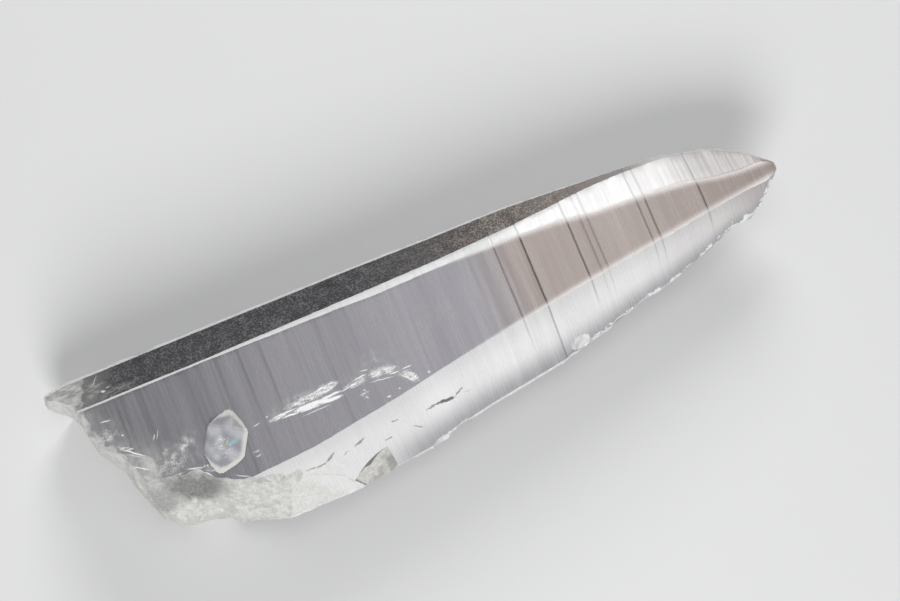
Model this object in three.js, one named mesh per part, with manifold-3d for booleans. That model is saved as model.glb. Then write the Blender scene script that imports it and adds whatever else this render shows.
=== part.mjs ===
// A natural lemurian seed quartz point, lying on one of its broad prism faces.
// Millimetres. +X runs along the crystal towards its tip, +Y across it, +Z up.
// The crystal is one solid: a tapering six-sided prism with a narrow bevel beside its broad top face,
// crossed by the ladder of growth steps that gives the variety its name. Its root is a rough
// conchoidal break, its near edge is chipped, and a small doubly pointed crystal grows from its top.
import * as THREE from "three";
import { mergeVertices } from "three/addons/utils/BufferGeometryUtils.js";
import Module from "manifold-3d";

const wasm = await Module();
wasm.setup();

// Stations along the crystal, measured from the corner of the broken root
const ROOT_START = -3; // the prism runs past the break and is cut back to it
const LADDER_END = 91.3; // the last growth step before the tip closes
const TIP = new THREE.Vector3(92.2, 3.1, 10.1);
const TIP_WIDTH = 0.9; // the point is worn to this width

// The prism's long edges, as distance across the crystal at stations along it
const NEAR_EDGE = [[-3, -13.2], [20, -13.15], [31, -13], [41, -11.8], [43.6, -11.5], [44.2, -10.9],
  [50, -9.8], [60, -8.3], [65, -7.2], [70, -5.8], [75, -4.7], [82, -2.6], [85, -1.4], [87.5, -1.2],
  [88.7, -0.75], [89.7, 0.25], [91.2, 1.65], [92.2, 2.8]];
const NEAR_RIDGE = [[-3, -8.2], [20, -8], [29, -7.5], [40, -5.9], [50, -4.1], [60, -2.7], [70, -1.2],
  [80, 0.3], [84, 0.95], [88, 1.5], [90.5, 1.7], [91.6, 2.2], [92.2, 2.9]];
const FAR_RIDGE = [[-3, 7.15], [20, 6.95], [38, 6.6], [42, 6.4], [57, 6.7], [66, 6.4], [70, 5.8],
  [80, 5.4], [85, 4.4], [88, 4.1], [90, 4.2], [91, 4.1], [92.2, 3.4]];
const SHOULDER = [[-3, 7.35], [20, 7.15], [38, 7.3], [50, 7.5], [60, 8], [65, 8.5], [70, 9.1], [75, 9.3],
  [80, 9.2], [83, 8.7], [86, 8], [89, 6.3], [91, 4.5], [92.2, 3.5]];
const FAR_EDGE = [[-3, 11.4], [0, 12.4], [3, 13.1], [20, 13], [40, 12.6], [50, 12.2], [60, 11.9],
  [65, 11.3], [70, 10.6], [75, 10.2], [80, 9.8], [85, 8.7], [87, 7.8], [89, 6.7], [91, 4.8], [92.2, 3.6]];

// Heights of the broad top face and of the face it lies on
const TOP = [[-3, 15], [45, 15], [60, 14.3], [72, 13.2], [82, 11.9], [91, 10.5], [92.2, 10.3]];
const BOTTOM = [[-3, 0], [58, 0], [68, 0.9], [78, 3], [86, 5], [92.2, 9.9]];

// Prism faces meet at 120 degrees, so the side faces drop at 60; the bevel drops gently
const SIDE_SLOPE = Math.tan(THREE.MathUtils.degToRad(60));
const BEVEL_SLOPE = Math.tan(THREE.MathUtils.degToRad(25));

// Growth steps
const SHORT_TREAD = 0.36;
const LONG_TREAD = 1.7;
const TIP_TREAD = 1; // the longest tread where the point narrows
const NARROWING = 62; // the point narrows from here on
const TREAD_TAPER = 0.5; // the share of the taper that a tread itself follows; its riser takes the rest
const RISER_LENGTH = 0.12;
const STEP_RELIEF = 0.05; // how far a tread stands above or below its neighbours
const TAPER_FADE = 9; // steps get finer over this length before the tip
const GROWTH_LINES = [57.3, 60.6, 66.5, 68.1, 68.9, 75.1, 76.1, 82.6]; // the deep lines
const GROWTH_LINE_WIDTH = 0.24;
const GROWTH_LINE_DEPTH = 0.14;
const RESTING_SPANS = [[13, 21], [40, 51]]; // where the face it lies on is quite flat
const FACES = ["top", "near upper", "near lower", "bottom", "far lower", "far upper", "bevel"];

// The broken root: where its lip lies along the crystal, and how far its upper rim leans back
const ROOT_LIP = [[-14, 22], [-12.6, 20], [-11.4, 17], [-9.4, 12], [-8.3, 9.5], [-6.8, 8], [-4.8, 7.2],
  [-2.2, 6.5], [-0.2, 6.3], [1.3, 5.5], [2.8, 4.5], [5.4, 3.8], [7.3, 3], [8.9, 2], [9.9, 1],
  [11.2, -0.8], [14, -0.3]];
const ROOT_LEAN = [[-14, 1], [-8, 3], [-5.7, 2.5], [-1.6, 2.1], [1.4, 0.8], [5.5, 0.9], [7.1, 1.5],
  [11, 3.8], [14, 4]];
const LIP_HEIGHT = 3.5;
const RIM_HEIGHT = 15;
const LEAN_CURVE = 1.4; // the break leans back faster and faster towards its rim
const UNDERCUT = 1.1; // how far the break curls in again under its lip
const ROOT_CUTTER = { width: 30, height: 22, depth: 30, middle: 8, cell: 0.85 };

// The second break, which takes the near corner off the root: its crack across the broad face, as
// distance across at stations, and how far it then steps out at depths below that face
const CORNER_CRACK = [[-3, -3.8], [11.5, -4.2], [15.3, -4.5], [17, -6.2], [18.7, -6.8], [21.3, -8.1],
  [27.4, -9.3], [30, -12], [40, -20]];
const CORNER_PROFILE = [[0, 0], [2.5, 0.05], [6, 2.3], [9, 4.7], [12, 4.8], [15, 4.6]];
const CORNER_CUTTER = { width: 40, height: 24, depth: 30, middleX: 15, middleZ: 8, cell: 1.15 };

// Relief of the breaks: shell-like ripples round a point, a slow swell, and a finer grain
const RIPPLE = 0.3;
const GRAIN = 0.12;
const CORNER_GRAIN = 0.09;
const SHELL_CENTRE = [-11, 16];
const SHELL_STEP = 5.7; // from crest to crest
const SHELLET_STEP = 2.7;
const SWELL_STEP = 18;
const GRAIN_STEP = 1.6;

// Conchoidal chips: a point on the surface, the way out of it, half the width, and the depth
const NEAR_UPPER_OUT = [0, -Math.sin(Math.PI / 3), Math.cos(Math.PI / 3)];
const NEAR_LOWER_OUT = [0, -Math.sin(Math.PI / 3), -Math.cos(Math.PI / 3)];
const FAR_LOWER_OUT = [0, Math.sin(Math.PI / 3), -Math.cos(Math.PI / 3)];
const CHIP_DETAIL = 9;
const CHIPS = [
  { at: [37.2, -12.5, 5.2], out: NEAR_UPPER_OUT, reach: 1.3, depth: 0.35 },
  { at: [42.7, -11.4, 4.9], out: [0.3, -0.9, 0.1], reach: 1.5, depth: 0.45 },
  { at: [46.2, -10.5, 4.6], out: [0.1, -0.9, 0.3], reach: 1.1, depth: 0.3 },
  { at: [63.1, -6.9, 6], out: NEAR_UPPER_OUT, reach: 1.5, depth: 0.5 },
  { at: [71.4, -5.2, 5.4], out: [0.3, -0.9, 0], reach: 0.9, depth: 0.3 },
  { at: [78.2, -3.6, 5.8], out: [0.2, -0.95, 0], reach: 0.9, depth: 0.28 },
  { at: [27.5, -12.1, 3.2], out: NEAR_LOWER_OUT, reach: 2.2, depth: 0.5 },
  { at: [52.5, 11.4, 4.4], out: FAR_LOWER_OUT, reach: 1.6, depth: 0.4 },
  { at: [21, 11.5, 1.4], out: FAR_LOWER_OUT, reach: 2.4, depth: 0.6 },
  { at: [13.5, 13, 5], out: [-0.1, 0.98, 0.05], reach: 1.5, depth: 0.4 },
];

// The leaf-shaped scar above the near edge. Its outline runs along the crystal and up the near upper
// face, measured from the foot of its straight side.
const LEAF_FOOT = new THREE.Vector3(36.8, -12.3, 4.72);
const LEAF_TIP = [-5.3, 2.3];
const LEAF_BEND = [-2.4, 4.95];
const LEAF_TOP = [0.15, 4.8];
const LEAF_BELOW = -1.4; // the cut runs this far past the near edge
const LEAF_DEPTH = 0.22; // at the foot
const LEAF_CLEAR = 2; // the cut stands this far out of the face
const LEAF_DIP = THREE.MathUtils.degToRad(4); // it gets deeper upwards
const FACE_LEAN = THREE.MathUtils.degToRad(60);
const FACE_TURN = THREE.MathUtils.degToRad(8.3); // the face turns in towards the tip

// The small crystal that grows from the broad top face
const SEEDLING_LENGTH = 9.3;
const SEEDLING_PRISM = 3.2;
const SEEDLING_RADIUS = 2.85;
const SEEDLING_FLATTEN = 0.6;
const SEEDLING_STANDS = 1.2; // above the top face
const SEEDLING_PLACE = [19.5, -2.8];
const SEEDLING_TURN = THREE.MathUtils.degToRad(60);
const SEEDLING_ROLL = THREE.MathUtils.degToRad(13);

// A repeatable number from 0 to 1 for each n
function chance(n) {
  const s = Math.sin(n * 12.9898 + 4.1414) * 43758.5453;
  return s - Math.floor(s);
}

// The value of a line of [station, value] points at x
function along(line, x) {
  for (let i = 1; i < line.length; i++) {
    const [x0, v0] = line[i - 1];
    const [x1, v1] = line[i];
    if (x <= x1) {
      return v0 + (v1 - v0) * Math.max(0, (x - x0) / (x1 - x0));
    }
  }
  return line[line.length - 1][1];
}

// The smooth seven-cornered section at x, anticlockwise seen from the tip, as [y, z] corners.
// Corner k is where face k begins, in the order of FACES.
function smoothSection(x) {
  const top = along(TOP, x);
  const bottom = along(BOTTOM, x);
  const farRidge = along(FAR_RIDGE, x);
  const nearRidge = along(NEAR_RIDGE, x);
  const nearEdge = along(NEAR_EDGE, x);
  const farEdge = along(FAR_EDGE, x);
  const shoulder = along(SHOULDER, x);
  const shoulderZ = top - (shoulder - farRidge) * BEVEL_SLOPE;
  const farZ = shoulderZ - (farEdge - shoulder) * SIDE_SLOPE;
  const nearZ = top - (nearRidge - nearEdge) * SIDE_SLOPE;
  return [
    [farRidge, top],
    [nearRidge, top],
    [nearEdge, nearZ],
    [nearEdge + (nearZ - bottom) / SIDE_SLOPE, bottom],
    [farEdge - (farZ - bottom) / SIDE_SLOPE, bottom],
    [farEdge, farZ],
    [shoulder, shoulderZ],
  ];
}

// The outward unit normal of the side from one [y, z] corner to the next
function outwardOf([y0, z0], [y1, z1]) {
  const length = Math.hypot(y1 - y0, z1 - z0) || 1;
  return [(z1 - z0) / length, -(y1 - y0) / length];
}

// Where two sides meet once each has been moved out by its own amount
function meeting(a, b) {
  const det = a.out[0] * b.out[1] - a.out[1] * b.out[0];
  return [
    (a.distance * b.out[1] - b.distance * a.out[1]) / det,
    (b.distance * a.out[0] - a.distance * b.out[0]) / det,
  ];
}

// The corners of a section whose sides have each been moved out by one of shifts
function shiftedSection(corners, shifts) {
  const sides = corners.map((corner, k) => {
    const out = outwardOf(corner, corners[(k + 1) % corners.length]);
    return { out, distance: corner[0] * out[0] + corner[1] * out[1] + shifts[k] };
  });
  return sides.map((side, k) => meeting(sides[(k + sides.length - 1) % sides.length], side));
}

// Treads of uneven length that fill the ladder between two stations
function fillTreads(from, to, firstIndex) {
  const treads = [];
  let start = from;
  while (start < to) {
    const longest = start > NARROWING ? TIP_TREAD : LONG_TREAD;
    const length = SHORT_TREAD + (longest - SHORT_TREAD) * chance(firstIndex + treads.length) ** 2;
    const end = to - start - length < SHORT_TREAD ? to : start + length;
    treads.push({ from: start, to: end, sunk: 0 });
    start = end;
  }
  return treads;
}

// The treads of the ladder, from root to tip, with a short sunk one at each deep line
function layTreads() {
  const treads = [];
  let from = ROOT_START;
  GROWTH_LINES.forEach((line) => {
    const sunkTread = {
      from: line - GROWTH_LINE_WIDTH / 2,
      to: line + GROWTH_LINE_WIDTH / 2,
      sunk: GROWTH_LINE_DEPTH,
    };
    treads.push(...fillTreads(from, sunkTread.from, treads.length), sunkTread);
    from = sunkTread.to;
  });
  return [...treads, ...fillTreads(from, LADDER_END, treads.length)];
}

// Whether a station lies where the bottom face is quite flat
function restsAt(x) {
  return RESTING_SPANS.some(([from, to]) => x > from && x < to);
}

// The corners of a tread's section at x. Its faces stand a little above or below their neighbours,
// except that the face it lies on never reaches out and is flat where the crystal rests.
function treadRing(tread, index, x) {
  const middle = (tread.from + tread.to) / 2;
  const fade = Math.min(1, (TIP.x - middle) / TAPER_FADE);
  const shifts = FACES.map((face, k) => {
    const wander = (chance(index * 7 + k * 31) - 0.5) * 2 * STEP_RELIEF;
    const shift = (wander - tread.sunk) * fade;
    if (face !== "bottom") {
      return shift;
    }
    return restsAt(middle) ? 0 : -Math.abs(shift);
  });
  return shiftedSection(smoothSection(x), shifts);
}

// A closed surface through rings of equally many points, with a fan over each end
function loft(rings) {
  const count = rings[0].points.length;
  const positions = [];
  const indices = [];
  rings.forEach(({ x, points }) => points.forEach(([y, z]) => positions.push(x, y, z)));
  for (let i = 0; i + 1 < rings.length; i++) {
    for (let j = 0; j < count; j++) {
      const a = i * count + j;
      const b = i * count + ((j + 1) % count);
      indices.push(a, b, a + count, b, b + count, a + count);
    }
  }
  [0, rings.length - 1].forEach((end) => {
    const { x, points } = rings[end];
    const centre = positions.length / 3;
    const y = points.reduce((sum, p) => sum + p[0], 0) / count;
    const z = points.reduce((sum, p) => sum + p[1], 0) / count;
    positions.push(x, y, z);
    for (let j = 0; j < count; j++) {
      const a = end * count + j;
      const b = end * count + ((j + 1) % count);
      indices.push(...(end === 0 ? [centre, b, a] : [centre, a, b]));
    }
  });
  const geometry = new THREE.BufferGeometry();
  geometry.setAttribute("position", new THREE.Float32BufferAttribute(positions, 3));
  geometry.setIndex(indices);
  return geometry;
}

// The whole laddered prism, from behind the break to the worn point
function prismGeometry() {
  const rings = [];
  layTreads().forEach((tread, i) => {
    const middle = (tread.from + tread.to) / 2;
    const half = (tread.to - tread.from) / 2;
    const inset = Math.min(RISER_LENGTH / 2, half / 3);
    [-1, 1].forEach((side) => {
      const points = treadRing(tread, i, middle + side * half * TREAD_TAPER);
      rings.push({ x: middle + side * (half - inset), points });
    });
  });
  const last = rings[rings.length - 1].points;
  const width = Math.max(...last.map((p) => p[0])) - Math.min(...last.map((p) => p[0]));
  const shrink = TIP_WIDTH / width;
  const point = last.map(([y, z]) => [TIP.y + (y - TIP.y) * shrink, TIP.z + (z - TIP.z) * shrink]);
  rings.push({ x: TIP.x, points: point });
  return loft(rings);
}

// A closed geometry as a solid that can be cut and joined
function solidOf(geometry) {
  const bare = geometry.clone();
  bare.deleteAttribute("normal");
  bare.deleteAttribute("uv");
  const merged = mergeVertices(bare, 1e-4);
  return new wasm.Manifold(new wasm.Mesh({
    numProp: 3,
    vertProperties: new Float32Array(merged.attributes.position.array),
    triVerts: new Uint32Array(merged.index.array),
  }));
}

// A block with one rough side. reliefAt gives that side's height at each point of it,
// and the rest of the block stands away from it along +Z.
function roughBlock(width, height, depth, cell, reliefAt) {
  const [columns, rows] = [Math.round(width / cell), Math.round(height / cell)];
  const block = new THREE.BoxGeometry(width, height, depth, columns, rows, 1);
  const position = block.attributes.position;
  for (let i = 0; i < position.count; i++) {
    const rough = position.getZ(i) < 0;
    const relief = rough ? reliefAt(position.getX(i), position.getY(i)) : depth;
    position.setZ(i, relief);
  }
  return block;
}

// A sine wave that repeats every step
function wave(distance, step, phase = 0) {
  return Math.sin((2 * Math.PI * distance) / step + phase);
}

// The relief of a break at a point across and up it
function conchoidal(across, up, grain) {
  const shell = Math.hypot(across - SHELL_CENTRE[0], up - SHELL_CENTRE[1]);
  const shells = 0.5 * wave(shell, SHELL_STEP) + 0.3 * wave(shell, SHELLET_STEP);
  const swell = wave(across, SWELL_STEP, 1.3) * wave(up, SWELL_STEP, 2);
  const fine = wave(across + up / 2, GRAIN_STEP) * wave(up - across / 4, GRAIN_STEP);
  return RIPPLE * (shells + swell) + grain * fine;
}

// What the root's break takes away. The rough side faces +X at the lip's own place for each y and z.
function rootBreak() {
  const { width, height, depth, middle, cell } = ROOT_CUTTER;
  const block = roughBlock(width, height, depth, cell, (y, up) => {
    const z = up + middle;
    const rise = Math.max(0, (z - LIP_HEIGHT) / (RIM_HEIGHT - LIP_HEIGHT));
    const drop = Math.min(1, Math.max(0, (LIP_HEIGHT - z) / LIP_HEIGHT));
    const lean = along(ROOT_LEAN, y) * rise ** LEAN_CURVE + UNDERCUT * drop ** 2;
    return -(along(ROOT_LIP, y) + lean + conchoidal(y, z, GRAIN));
  });
  // turns the block's +Z to -X, its +X to +Y and its +Y to +Z
  const turn = new THREE.Matrix4().set(0, 0, -1, 0, 1, 0, 0, 0, 0, 1, 0, middle, 0, 0, 0, 1);
  return flipped(block.applyMatrix4(turn));
}

// The same geometry with its faces the other way round, for one that a mirroring turn left inside out
function flipped(geometry) {
  const index = geometry.index.array;
  for (let i = 0; i < index.length; i += 3) {
    [index[i + 1], index[i + 2]] = [index[i + 2], index[i + 1]];
  }
  return geometry;
}

// What the corner's break takes away. The rough side faces +Y.
function cornerBreak() {
  const { width, height, depth, middleX, middleZ, cell } = CORNER_CUTTER;
  const block = roughBlock(width, height, depth, cell, (fromMiddle, up) => {
    const [x, z] = [fromMiddle + middleX, up + middleZ];
    const face = along(CORNER_CRACK, x) - along(CORNER_PROFILE, TOP[0][1] - z);
    return conchoidal(x, z, CORNER_GRAIN) - face;
  });
  block.rotateX(Math.PI / 2);
  return block.translate(middleX, 0, middleZ);
}

// What the leaf-shaped scar takes away
function leafScar() {
  const outline = new THREE.Shape();
  outline.moveTo(0, LEAF_BELOW);
  outline.lineTo(...LEAF_TOP);
  outline.quadraticCurveTo(...LEAF_BEND, ...LEAF_TIP);
  outline.lineTo(LEAF_TIP[0] - LEAF_BELOW, LEAF_BELOW);
  const scar = new THREE.ExtrudeGeometry(outline, {
    depth: LEAF_DEPTH + LEAF_CLEAR, bevelEnabled: false, curveSegments: 10,
  });
  scar.translate(0, 0, -LEAF_DEPTH);
  scar.rotateX(FACE_LEAN - LEAF_DIP);
  scar.rotateZ(FACE_TURN);
  return scar.translate(LEAF_FOOT.x, LEAF_FOOT.y, LEAF_FOOT.z);
}

// A ball whose cap bites a shallow dish out of the surface
function chipBall({ at, out, reach, depth }) {
  const radius = (reach ** 2 + depth ** 2) / (2 * depth);
  const outward = new THREE.Vector3(...out).normalize();
  const centre = new THREE.Vector3(...at).addScaledVector(outward, radius - depth);
  const ball = new THREE.IcosahedronGeometry(radius, CHIP_DETAIL);
  return ball.translate(centre.x, centre.y, centre.z);
}

// The small doubly pointed crystal, mostly sunk into the top face
function seedling() {
  const half = SEEDLING_LENGTH / 2;
  const outline = [
    new THREE.Vector2(0, -half),
    new THREE.Vector2(SEEDLING_RADIUS, -SEEDLING_PRISM / 2),
    new THREE.Vector2(SEEDLING_RADIUS, SEEDLING_PRISM / 2),
    new THREE.Vector2(0, half),
  ];
  const crystal = new THREE.LatheGeometry(outline, 6);
  crystal.rotateY(SEEDLING_ROLL);
  crystal.scale(1, 1, SEEDLING_FLATTEN);
  crystal.rotateZ(SEEDLING_TURN - Math.PI / 2);
  crystal.computeBoundingBox();
  const rise = along(TOP, SEEDLING_PLACE[0]) + SEEDLING_STANDS - crystal.boundingBox.max.z;
  return crystal.translate(SEEDLING_PLACE[0], SEEDLING_PLACE[1], rise);
}

// The finished crystal, with its origin at the middle of the box's underside
function crystalGeometry() {
  let solid = solidOf(prismGeometry());
  solid = solid.subtract(solidOf(cornerBreak()));
  solid = solid.subtract(solidOf(rootBreak()));
  solid = solid.subtract(solidOf(leafScar()));
  CHIPS.forEach((chip) => {
    solid = solid.subtract(solidOf(chipBall(chip)));
  });
  solid = solid.add(solidOf(seedling()));
  const mesh = solid.getMesh();
  const geometry = new THREE.BufferGeometry();
  geometry.setAttribute("position", new THREE.BufferAttribute(mesh.vertProperties, 3));
  geometry.setIndex(new THREE.BufferAttribute(mesh.triVerts, 1));
  geometry.computeBoundingBox();
  const { min, max } = geometry.boundingBox;
  return geometry.translate(-(min.x + max.x) / 2, -(min.y + max.y) / 2, -min.z);
}

const clearQuartz = new THREE.MeshStandardMaterial({
  color: 0xd9d6de,
  roughness: 0.15,
  metalness: 0,
  transparent: true,
  opacity: 0.6,
});

const crystal = new THREE.Mesh(crystalGeometry(), clearQuartz);
crystal.name = "quartz_crystal";

const specimen = new THREE.Group();
specimen.add(crystal);

export default specimen;
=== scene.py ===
# A lemurian seed quartz point: its fine surface and its finishes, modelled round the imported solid.
# Shapes are worked out in millimetres, by stations along the crystal, and made in metres.
import math
import random

import bmesh
import bpy
import numpy as np
from mathutils import Matrix, Vector


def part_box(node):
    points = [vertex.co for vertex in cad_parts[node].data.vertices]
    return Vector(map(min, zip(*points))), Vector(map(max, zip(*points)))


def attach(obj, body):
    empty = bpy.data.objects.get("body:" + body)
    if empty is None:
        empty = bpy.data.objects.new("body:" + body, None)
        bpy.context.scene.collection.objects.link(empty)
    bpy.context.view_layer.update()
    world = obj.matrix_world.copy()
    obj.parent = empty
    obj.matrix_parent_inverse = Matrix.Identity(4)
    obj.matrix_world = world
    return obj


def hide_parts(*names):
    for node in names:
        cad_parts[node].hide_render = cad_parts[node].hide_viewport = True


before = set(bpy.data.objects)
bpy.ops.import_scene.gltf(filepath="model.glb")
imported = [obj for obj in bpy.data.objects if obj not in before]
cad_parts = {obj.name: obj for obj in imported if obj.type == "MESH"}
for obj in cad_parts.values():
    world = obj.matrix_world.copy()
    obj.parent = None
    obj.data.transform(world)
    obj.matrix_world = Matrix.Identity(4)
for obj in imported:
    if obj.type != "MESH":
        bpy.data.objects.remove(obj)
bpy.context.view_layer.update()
mm = 0.001

crystalForm = {
    "rootStart": -3,
    "ladderEnd": 91.3,
    "tip": (92.2, 3.1, 10.1),
    "tipWidth": 0.9,
    # the long edges, as distance across the crystal at stations along it
    "nearEdge": [(-3, -13.2), (20, -13.15), (31, -13), (41, -11.8), (43.6, -11.5), (44.2, -10.9),
                 (50, -9.8), (60, -8.3), (65, -7.2), (70, -5.8), (75, -4.7), (82, -2.6), (85, -1.4),
                 (87.5, -1.2), (88.7, -0.75), (89.7, 0.25), (91.2, 1.65), (92.2, 2.8)],
    "nearRidge": [(-3, -8.2), (20, -8), (29, -7.5), (40, -5.9), (50, -4.1), (60, -2.7), (70, -1.2),
                  (80, 0.3), (84, 0.95), (88, 1.5), (90.5, 1.7), (91.6, 2.2), (92.2, 2.9)],
    "farRidge": [(-3, 7.15), (20, 6.95), (38, 6.6), (42, 6.4), (57, 6.7), (66, 6.4), (70, 5.8),
                 (80, 5.4), (85, 4.4), (88, 4.1), (90, 4.2), (91, 4.1), (92.2, 3.4)],
    "shoulder": [(-3, 7.35), (20, 7.15), (38, 7.3), (50, 7.5), (60, 8), (65, 8.5), (70, 9.1), (75, 9.3),
                 (80, 9.2), (83, 8.7), (86, 8), (89, 6.3), (91, 4.5), (92.2, 3.5)],
    "farEdge": [(-3, 11.4), (0, 12.4), (3, 13.1), (20, 13), (40, 12.6), (50, 12.2), (60, 11.9),
                (65, 11.3), (70, 10.6), (75, 10.2), (80, 9.8), (85, 8.7), (87, 7.8), (89, 6.7),
                (91, 4.8), (92.2, 3.6)],
    "top": [(-3, 15), (45, 15), (60, 14.3), (72, 13.2), (82, 11.9), (91, 10.5), (92.2, 10.3)],
    "bottom": [(-3, 0), (58, 0), (68, 0.9), (78, 3), (86, 5), (92.2, 9.9)],
    "sideSlope": math.tan(math.radians(60)),
    "bevelSlope": math.tan(math.radians(25)),
    # the ladder of growth steps
    "shortTread": 0.36,
    "longTread": 1.7,
    "tipTread": 1,
    "narrowing": 62,  # from here on the longest tread is tipTread
    "treadTaper": 0.88,
    "riser": 0.12,
    "relief": 0.05,
    "taperFade": 9,  # the length before the tip over which all relief fades
    "leastFade": 0.1,
    # the deep growth lines, and how dark the painted shade in each one is
    "growthLines": [(57.3, 0.55), (60.6, 1.0), (66.5, 0.8), (68.1, 0.35), (68.9, 0.4), (75.1, 0.45),
                    (76.1, 0.5), (82.6, 0.7)],
    "growthLineWidth": 0.24,
    "growthLineDepth": 0.14,
    "lineInset": 0.01,
    "lineGuard": 0.04,  # the distance from a deep line at which a ring keeps its bend narrow
    "restingSpans": [(13, 21), (40, 51)],  # of the underside, left flat
    "tipRings": (0.35, 0.7, 0.92, 1),
    "tipCurve": 1.15,
    # the fine surface
    "ringSpacing": 0.16,
    "sharpFrom": 24,  # the angle in degrees from which an edge between faces is sharp
    "columns": {"top": 16, "near upper": 14, "near lower": 8, "bottom": 8, "far lower": 8,
                "far upper": 14, "bevel": 5},
    "crowding": 0.8,  # how much closer together the columns are beside the edges
    "edgeWear": 0.07,
    "edgeReach": 0.12,
    # the wear comes and goes: its mean and swing, and its waves along an edge and from edge to edge
    "wearSwing": (0.55, 0.45),
    "wearWaves": ((1.9, 2.1), (0.83, 1)),
    # the columns beside the long edges that are frosted, and whose white is partly painted highlight
    "frostAndHighlightColumns": {"near upper": (0, 2), "near lower": (1, 0), "far lower": (0, 1),
                       "far upper": (3, 1)},
    # how much of the ladder's relief each face shows
    "faceRelief": {"top": 0.2, "near upper": 0.05, "near lower": 0.3, "bottom": 0.5, "far lower": 0.35,
                   "far upper": 0.3, "bevel": 0.06},
    "lineRelief": 0.1,  # the least that the deep lines show
    "calmFrom": 62,  # towards the tip the ladder is fainter
    "calm": 0.4,
    # short steps that cross only part of a face, by shares of its width
    "shortSteps": {"seed": 4, "count": 150, "relief": 0.04, "stations": (0, 90), "length": (0.3, 4),
                   "middle": (0.1, 0.9), "reach": (0.1, 0.4), "endSlope": 0.1, "sideSlope": 0.12},
    # where the long edges are read for the finishes
    "edgeStations": (0, 20, 31, 41, 44, 50, 60, 65, 70, 75, 82, 85, 88, 91),
}
faceNames = list(crystalForm["columns"])

# a station less this shift is a place along the frame's x, in millimetres
cadLow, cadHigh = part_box("quartz_crystal")
stationShift = crystalForm["tip"][0] - cadHigh.x / mm


# The same number from 0 to 1 each time for the same n. The large factors only scatter it.
def chance(n):
    s = math.sin(n * 12.9898 + 4.1414) * 43758.5453
    return s - math.floor(s)


def along(line, x):
    stations, values = zip(*line)
    return np.interp(x, stations, values)


def wave(distance, step, phase=0.0):
    return np.sin(2 * math.pi * distance / step + phase)


def smoothStep(low, high, value):
    t = np.clip((value - low) / (high - low), 0, 1)
    return t * t * (3 - 2 * t)


# Where the edge at which a face begins lies on another face, by that other face's way across
def edgeOnFace(form, face, across):
    corners = [(x, smoothSection(form, x)[faceNames.index(face)]) for x in form["edgeStations"]]
    return [(x, y * across[0] + z * across[1]) for x, (y, z) in corners]


# The seven corners of the smooth section at x. Corner k is where face k begins.
def smoothSection(form, x):
    top, bottom = along(form["top"], x), along(form["bottom"], x)
    farRidge, nearRidge = along(form["farRidge"], x), along(form["nearRidge"], x)
    nearEdge, farEdge = along(form["nearEdge"], x), along(form["farEdge"], x)
    shoulder = along(form["shoulder"], x)
    slope = form["sideSlope"]
    shoulderZ = top - (shoulder - farRidge) * form["bevelSlope"]
    farZ = shoulderZ - (farEdge - shoulder) * slope
    nearZ = top - (nearRidge - nearEdge) * slope
    return np.array([
        (farRidge, top), (nearRidge, top), (nearEdge, nearZ),
        (nearEdge + (nearZ - bottom) / slope, bottom), (farEdge - (farZ - bottom) / slope, bottom),
        (farEdge, farZ), (shoulder, shoulderZ),
    ])


def outwardNormals(corners):
    side = np.roll(corners, -1, axis=0) - corners
    length = np.maximum(np.linalg.norm(side, axis=1), 1e-9)
    return np.stack([side[:, 1], -side[:, 0]], 1) / length[:, None]


# The corners of a section whose sides have each been moved out by one of shifts
def shiftedSection(corners, shifts):
    out = outwardNormals(corners)
    distance = (corners * out).sum(1) + shifts
    before, beforeDistance = np.roll(out, 1, axis=0), np.roll(distance, 1)
    det = before[:, 0] * out[:, 1] - before[:, 1] * out[:, 0]
    y = (beforeDistance * out[:, 1] - distance * before[:, 1]) / det
    z = (distance * before[:, 0] - beforeDistance * out[:, 0]) / det
    return np.stack([y, z], 1)


def fillTreads(form, start, end, firstIndex):
    treads = []
    while start < end:
        longest = form["tipTread"] if start > form["narrowing"] else form["longTread"]
        length = form["shortTread"] + (longest - form["shortTread"]) * chance(firstIndex + len(treads)) ** 2
        stop = end if end - start - length < form["shortTread"] else start + length
        treads.append((start, stop, 0))
        start = stop
    return treads


def layTreads(form):
    treads, start = [], form["rootStart"]
    half = form["growthLineWidth"] / 2
    for line, _ in form["growthLines"]:
        treads += fillTreads(form, start, line - half, len(treads))
        treads.append((line - half, line + half, form["growthLineDepth"]))
        start = line + half
    return treads + fillTreads(form, start, form["ladderEnd"], len(treads))


def treadCorners(form, tread, index, x):
    start, stop, sunk = tread
    middle = (start + stop) / 2
    fade = min(1, (form["tip"][0] - middle) / form["taperFade"])
    rests = any(low < middle < high for low, high in form["restingSpans"])
    shifts = []
    for k, face in enumerate(faceNames):
        shown = form["faceRelief"][face] * fade
        if middle > form["calmFrom"]:
            shown *= form["calm"]
        deep = sunk * max(form["faceRelief"][face], form["lineRelief"]) * fade
        shift = (chance(index * 7 + k * 31) - 0.5) * 2 * form["relief"] * shown - deep
        if face == "bottom":
            shift = 0 if rests else -abs(shift)
        shifts.append(shift)
    return shiftedSection(smoothSection(form, x), np.array(shifts))


# The short steps by face: where they start and stop along it and across it, and their relief
def shortSteps(form):
    short = form["shortSteps"]
    draw = random.Random(short["seed"])
    steps = {face: [] for face in faceNames}
    for _ in range(short["count"]):
        face = draw.choice(faceNames)
        start = draw.uniform(*short["stations"])
        middle = draw.uniform(*short["middle"])
        steps[face].append({
            "start": start, "stop": start + draw.uniform(*short["length"]),
            "from": middle - draw.uniform(*short["reach"]), "to": middle + draw.uniform(*short["reach"]),
            "relief": draw.uniform(-1, 1) * short["relief"] * form["faceRelief"][face],
        })
    return steps


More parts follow.
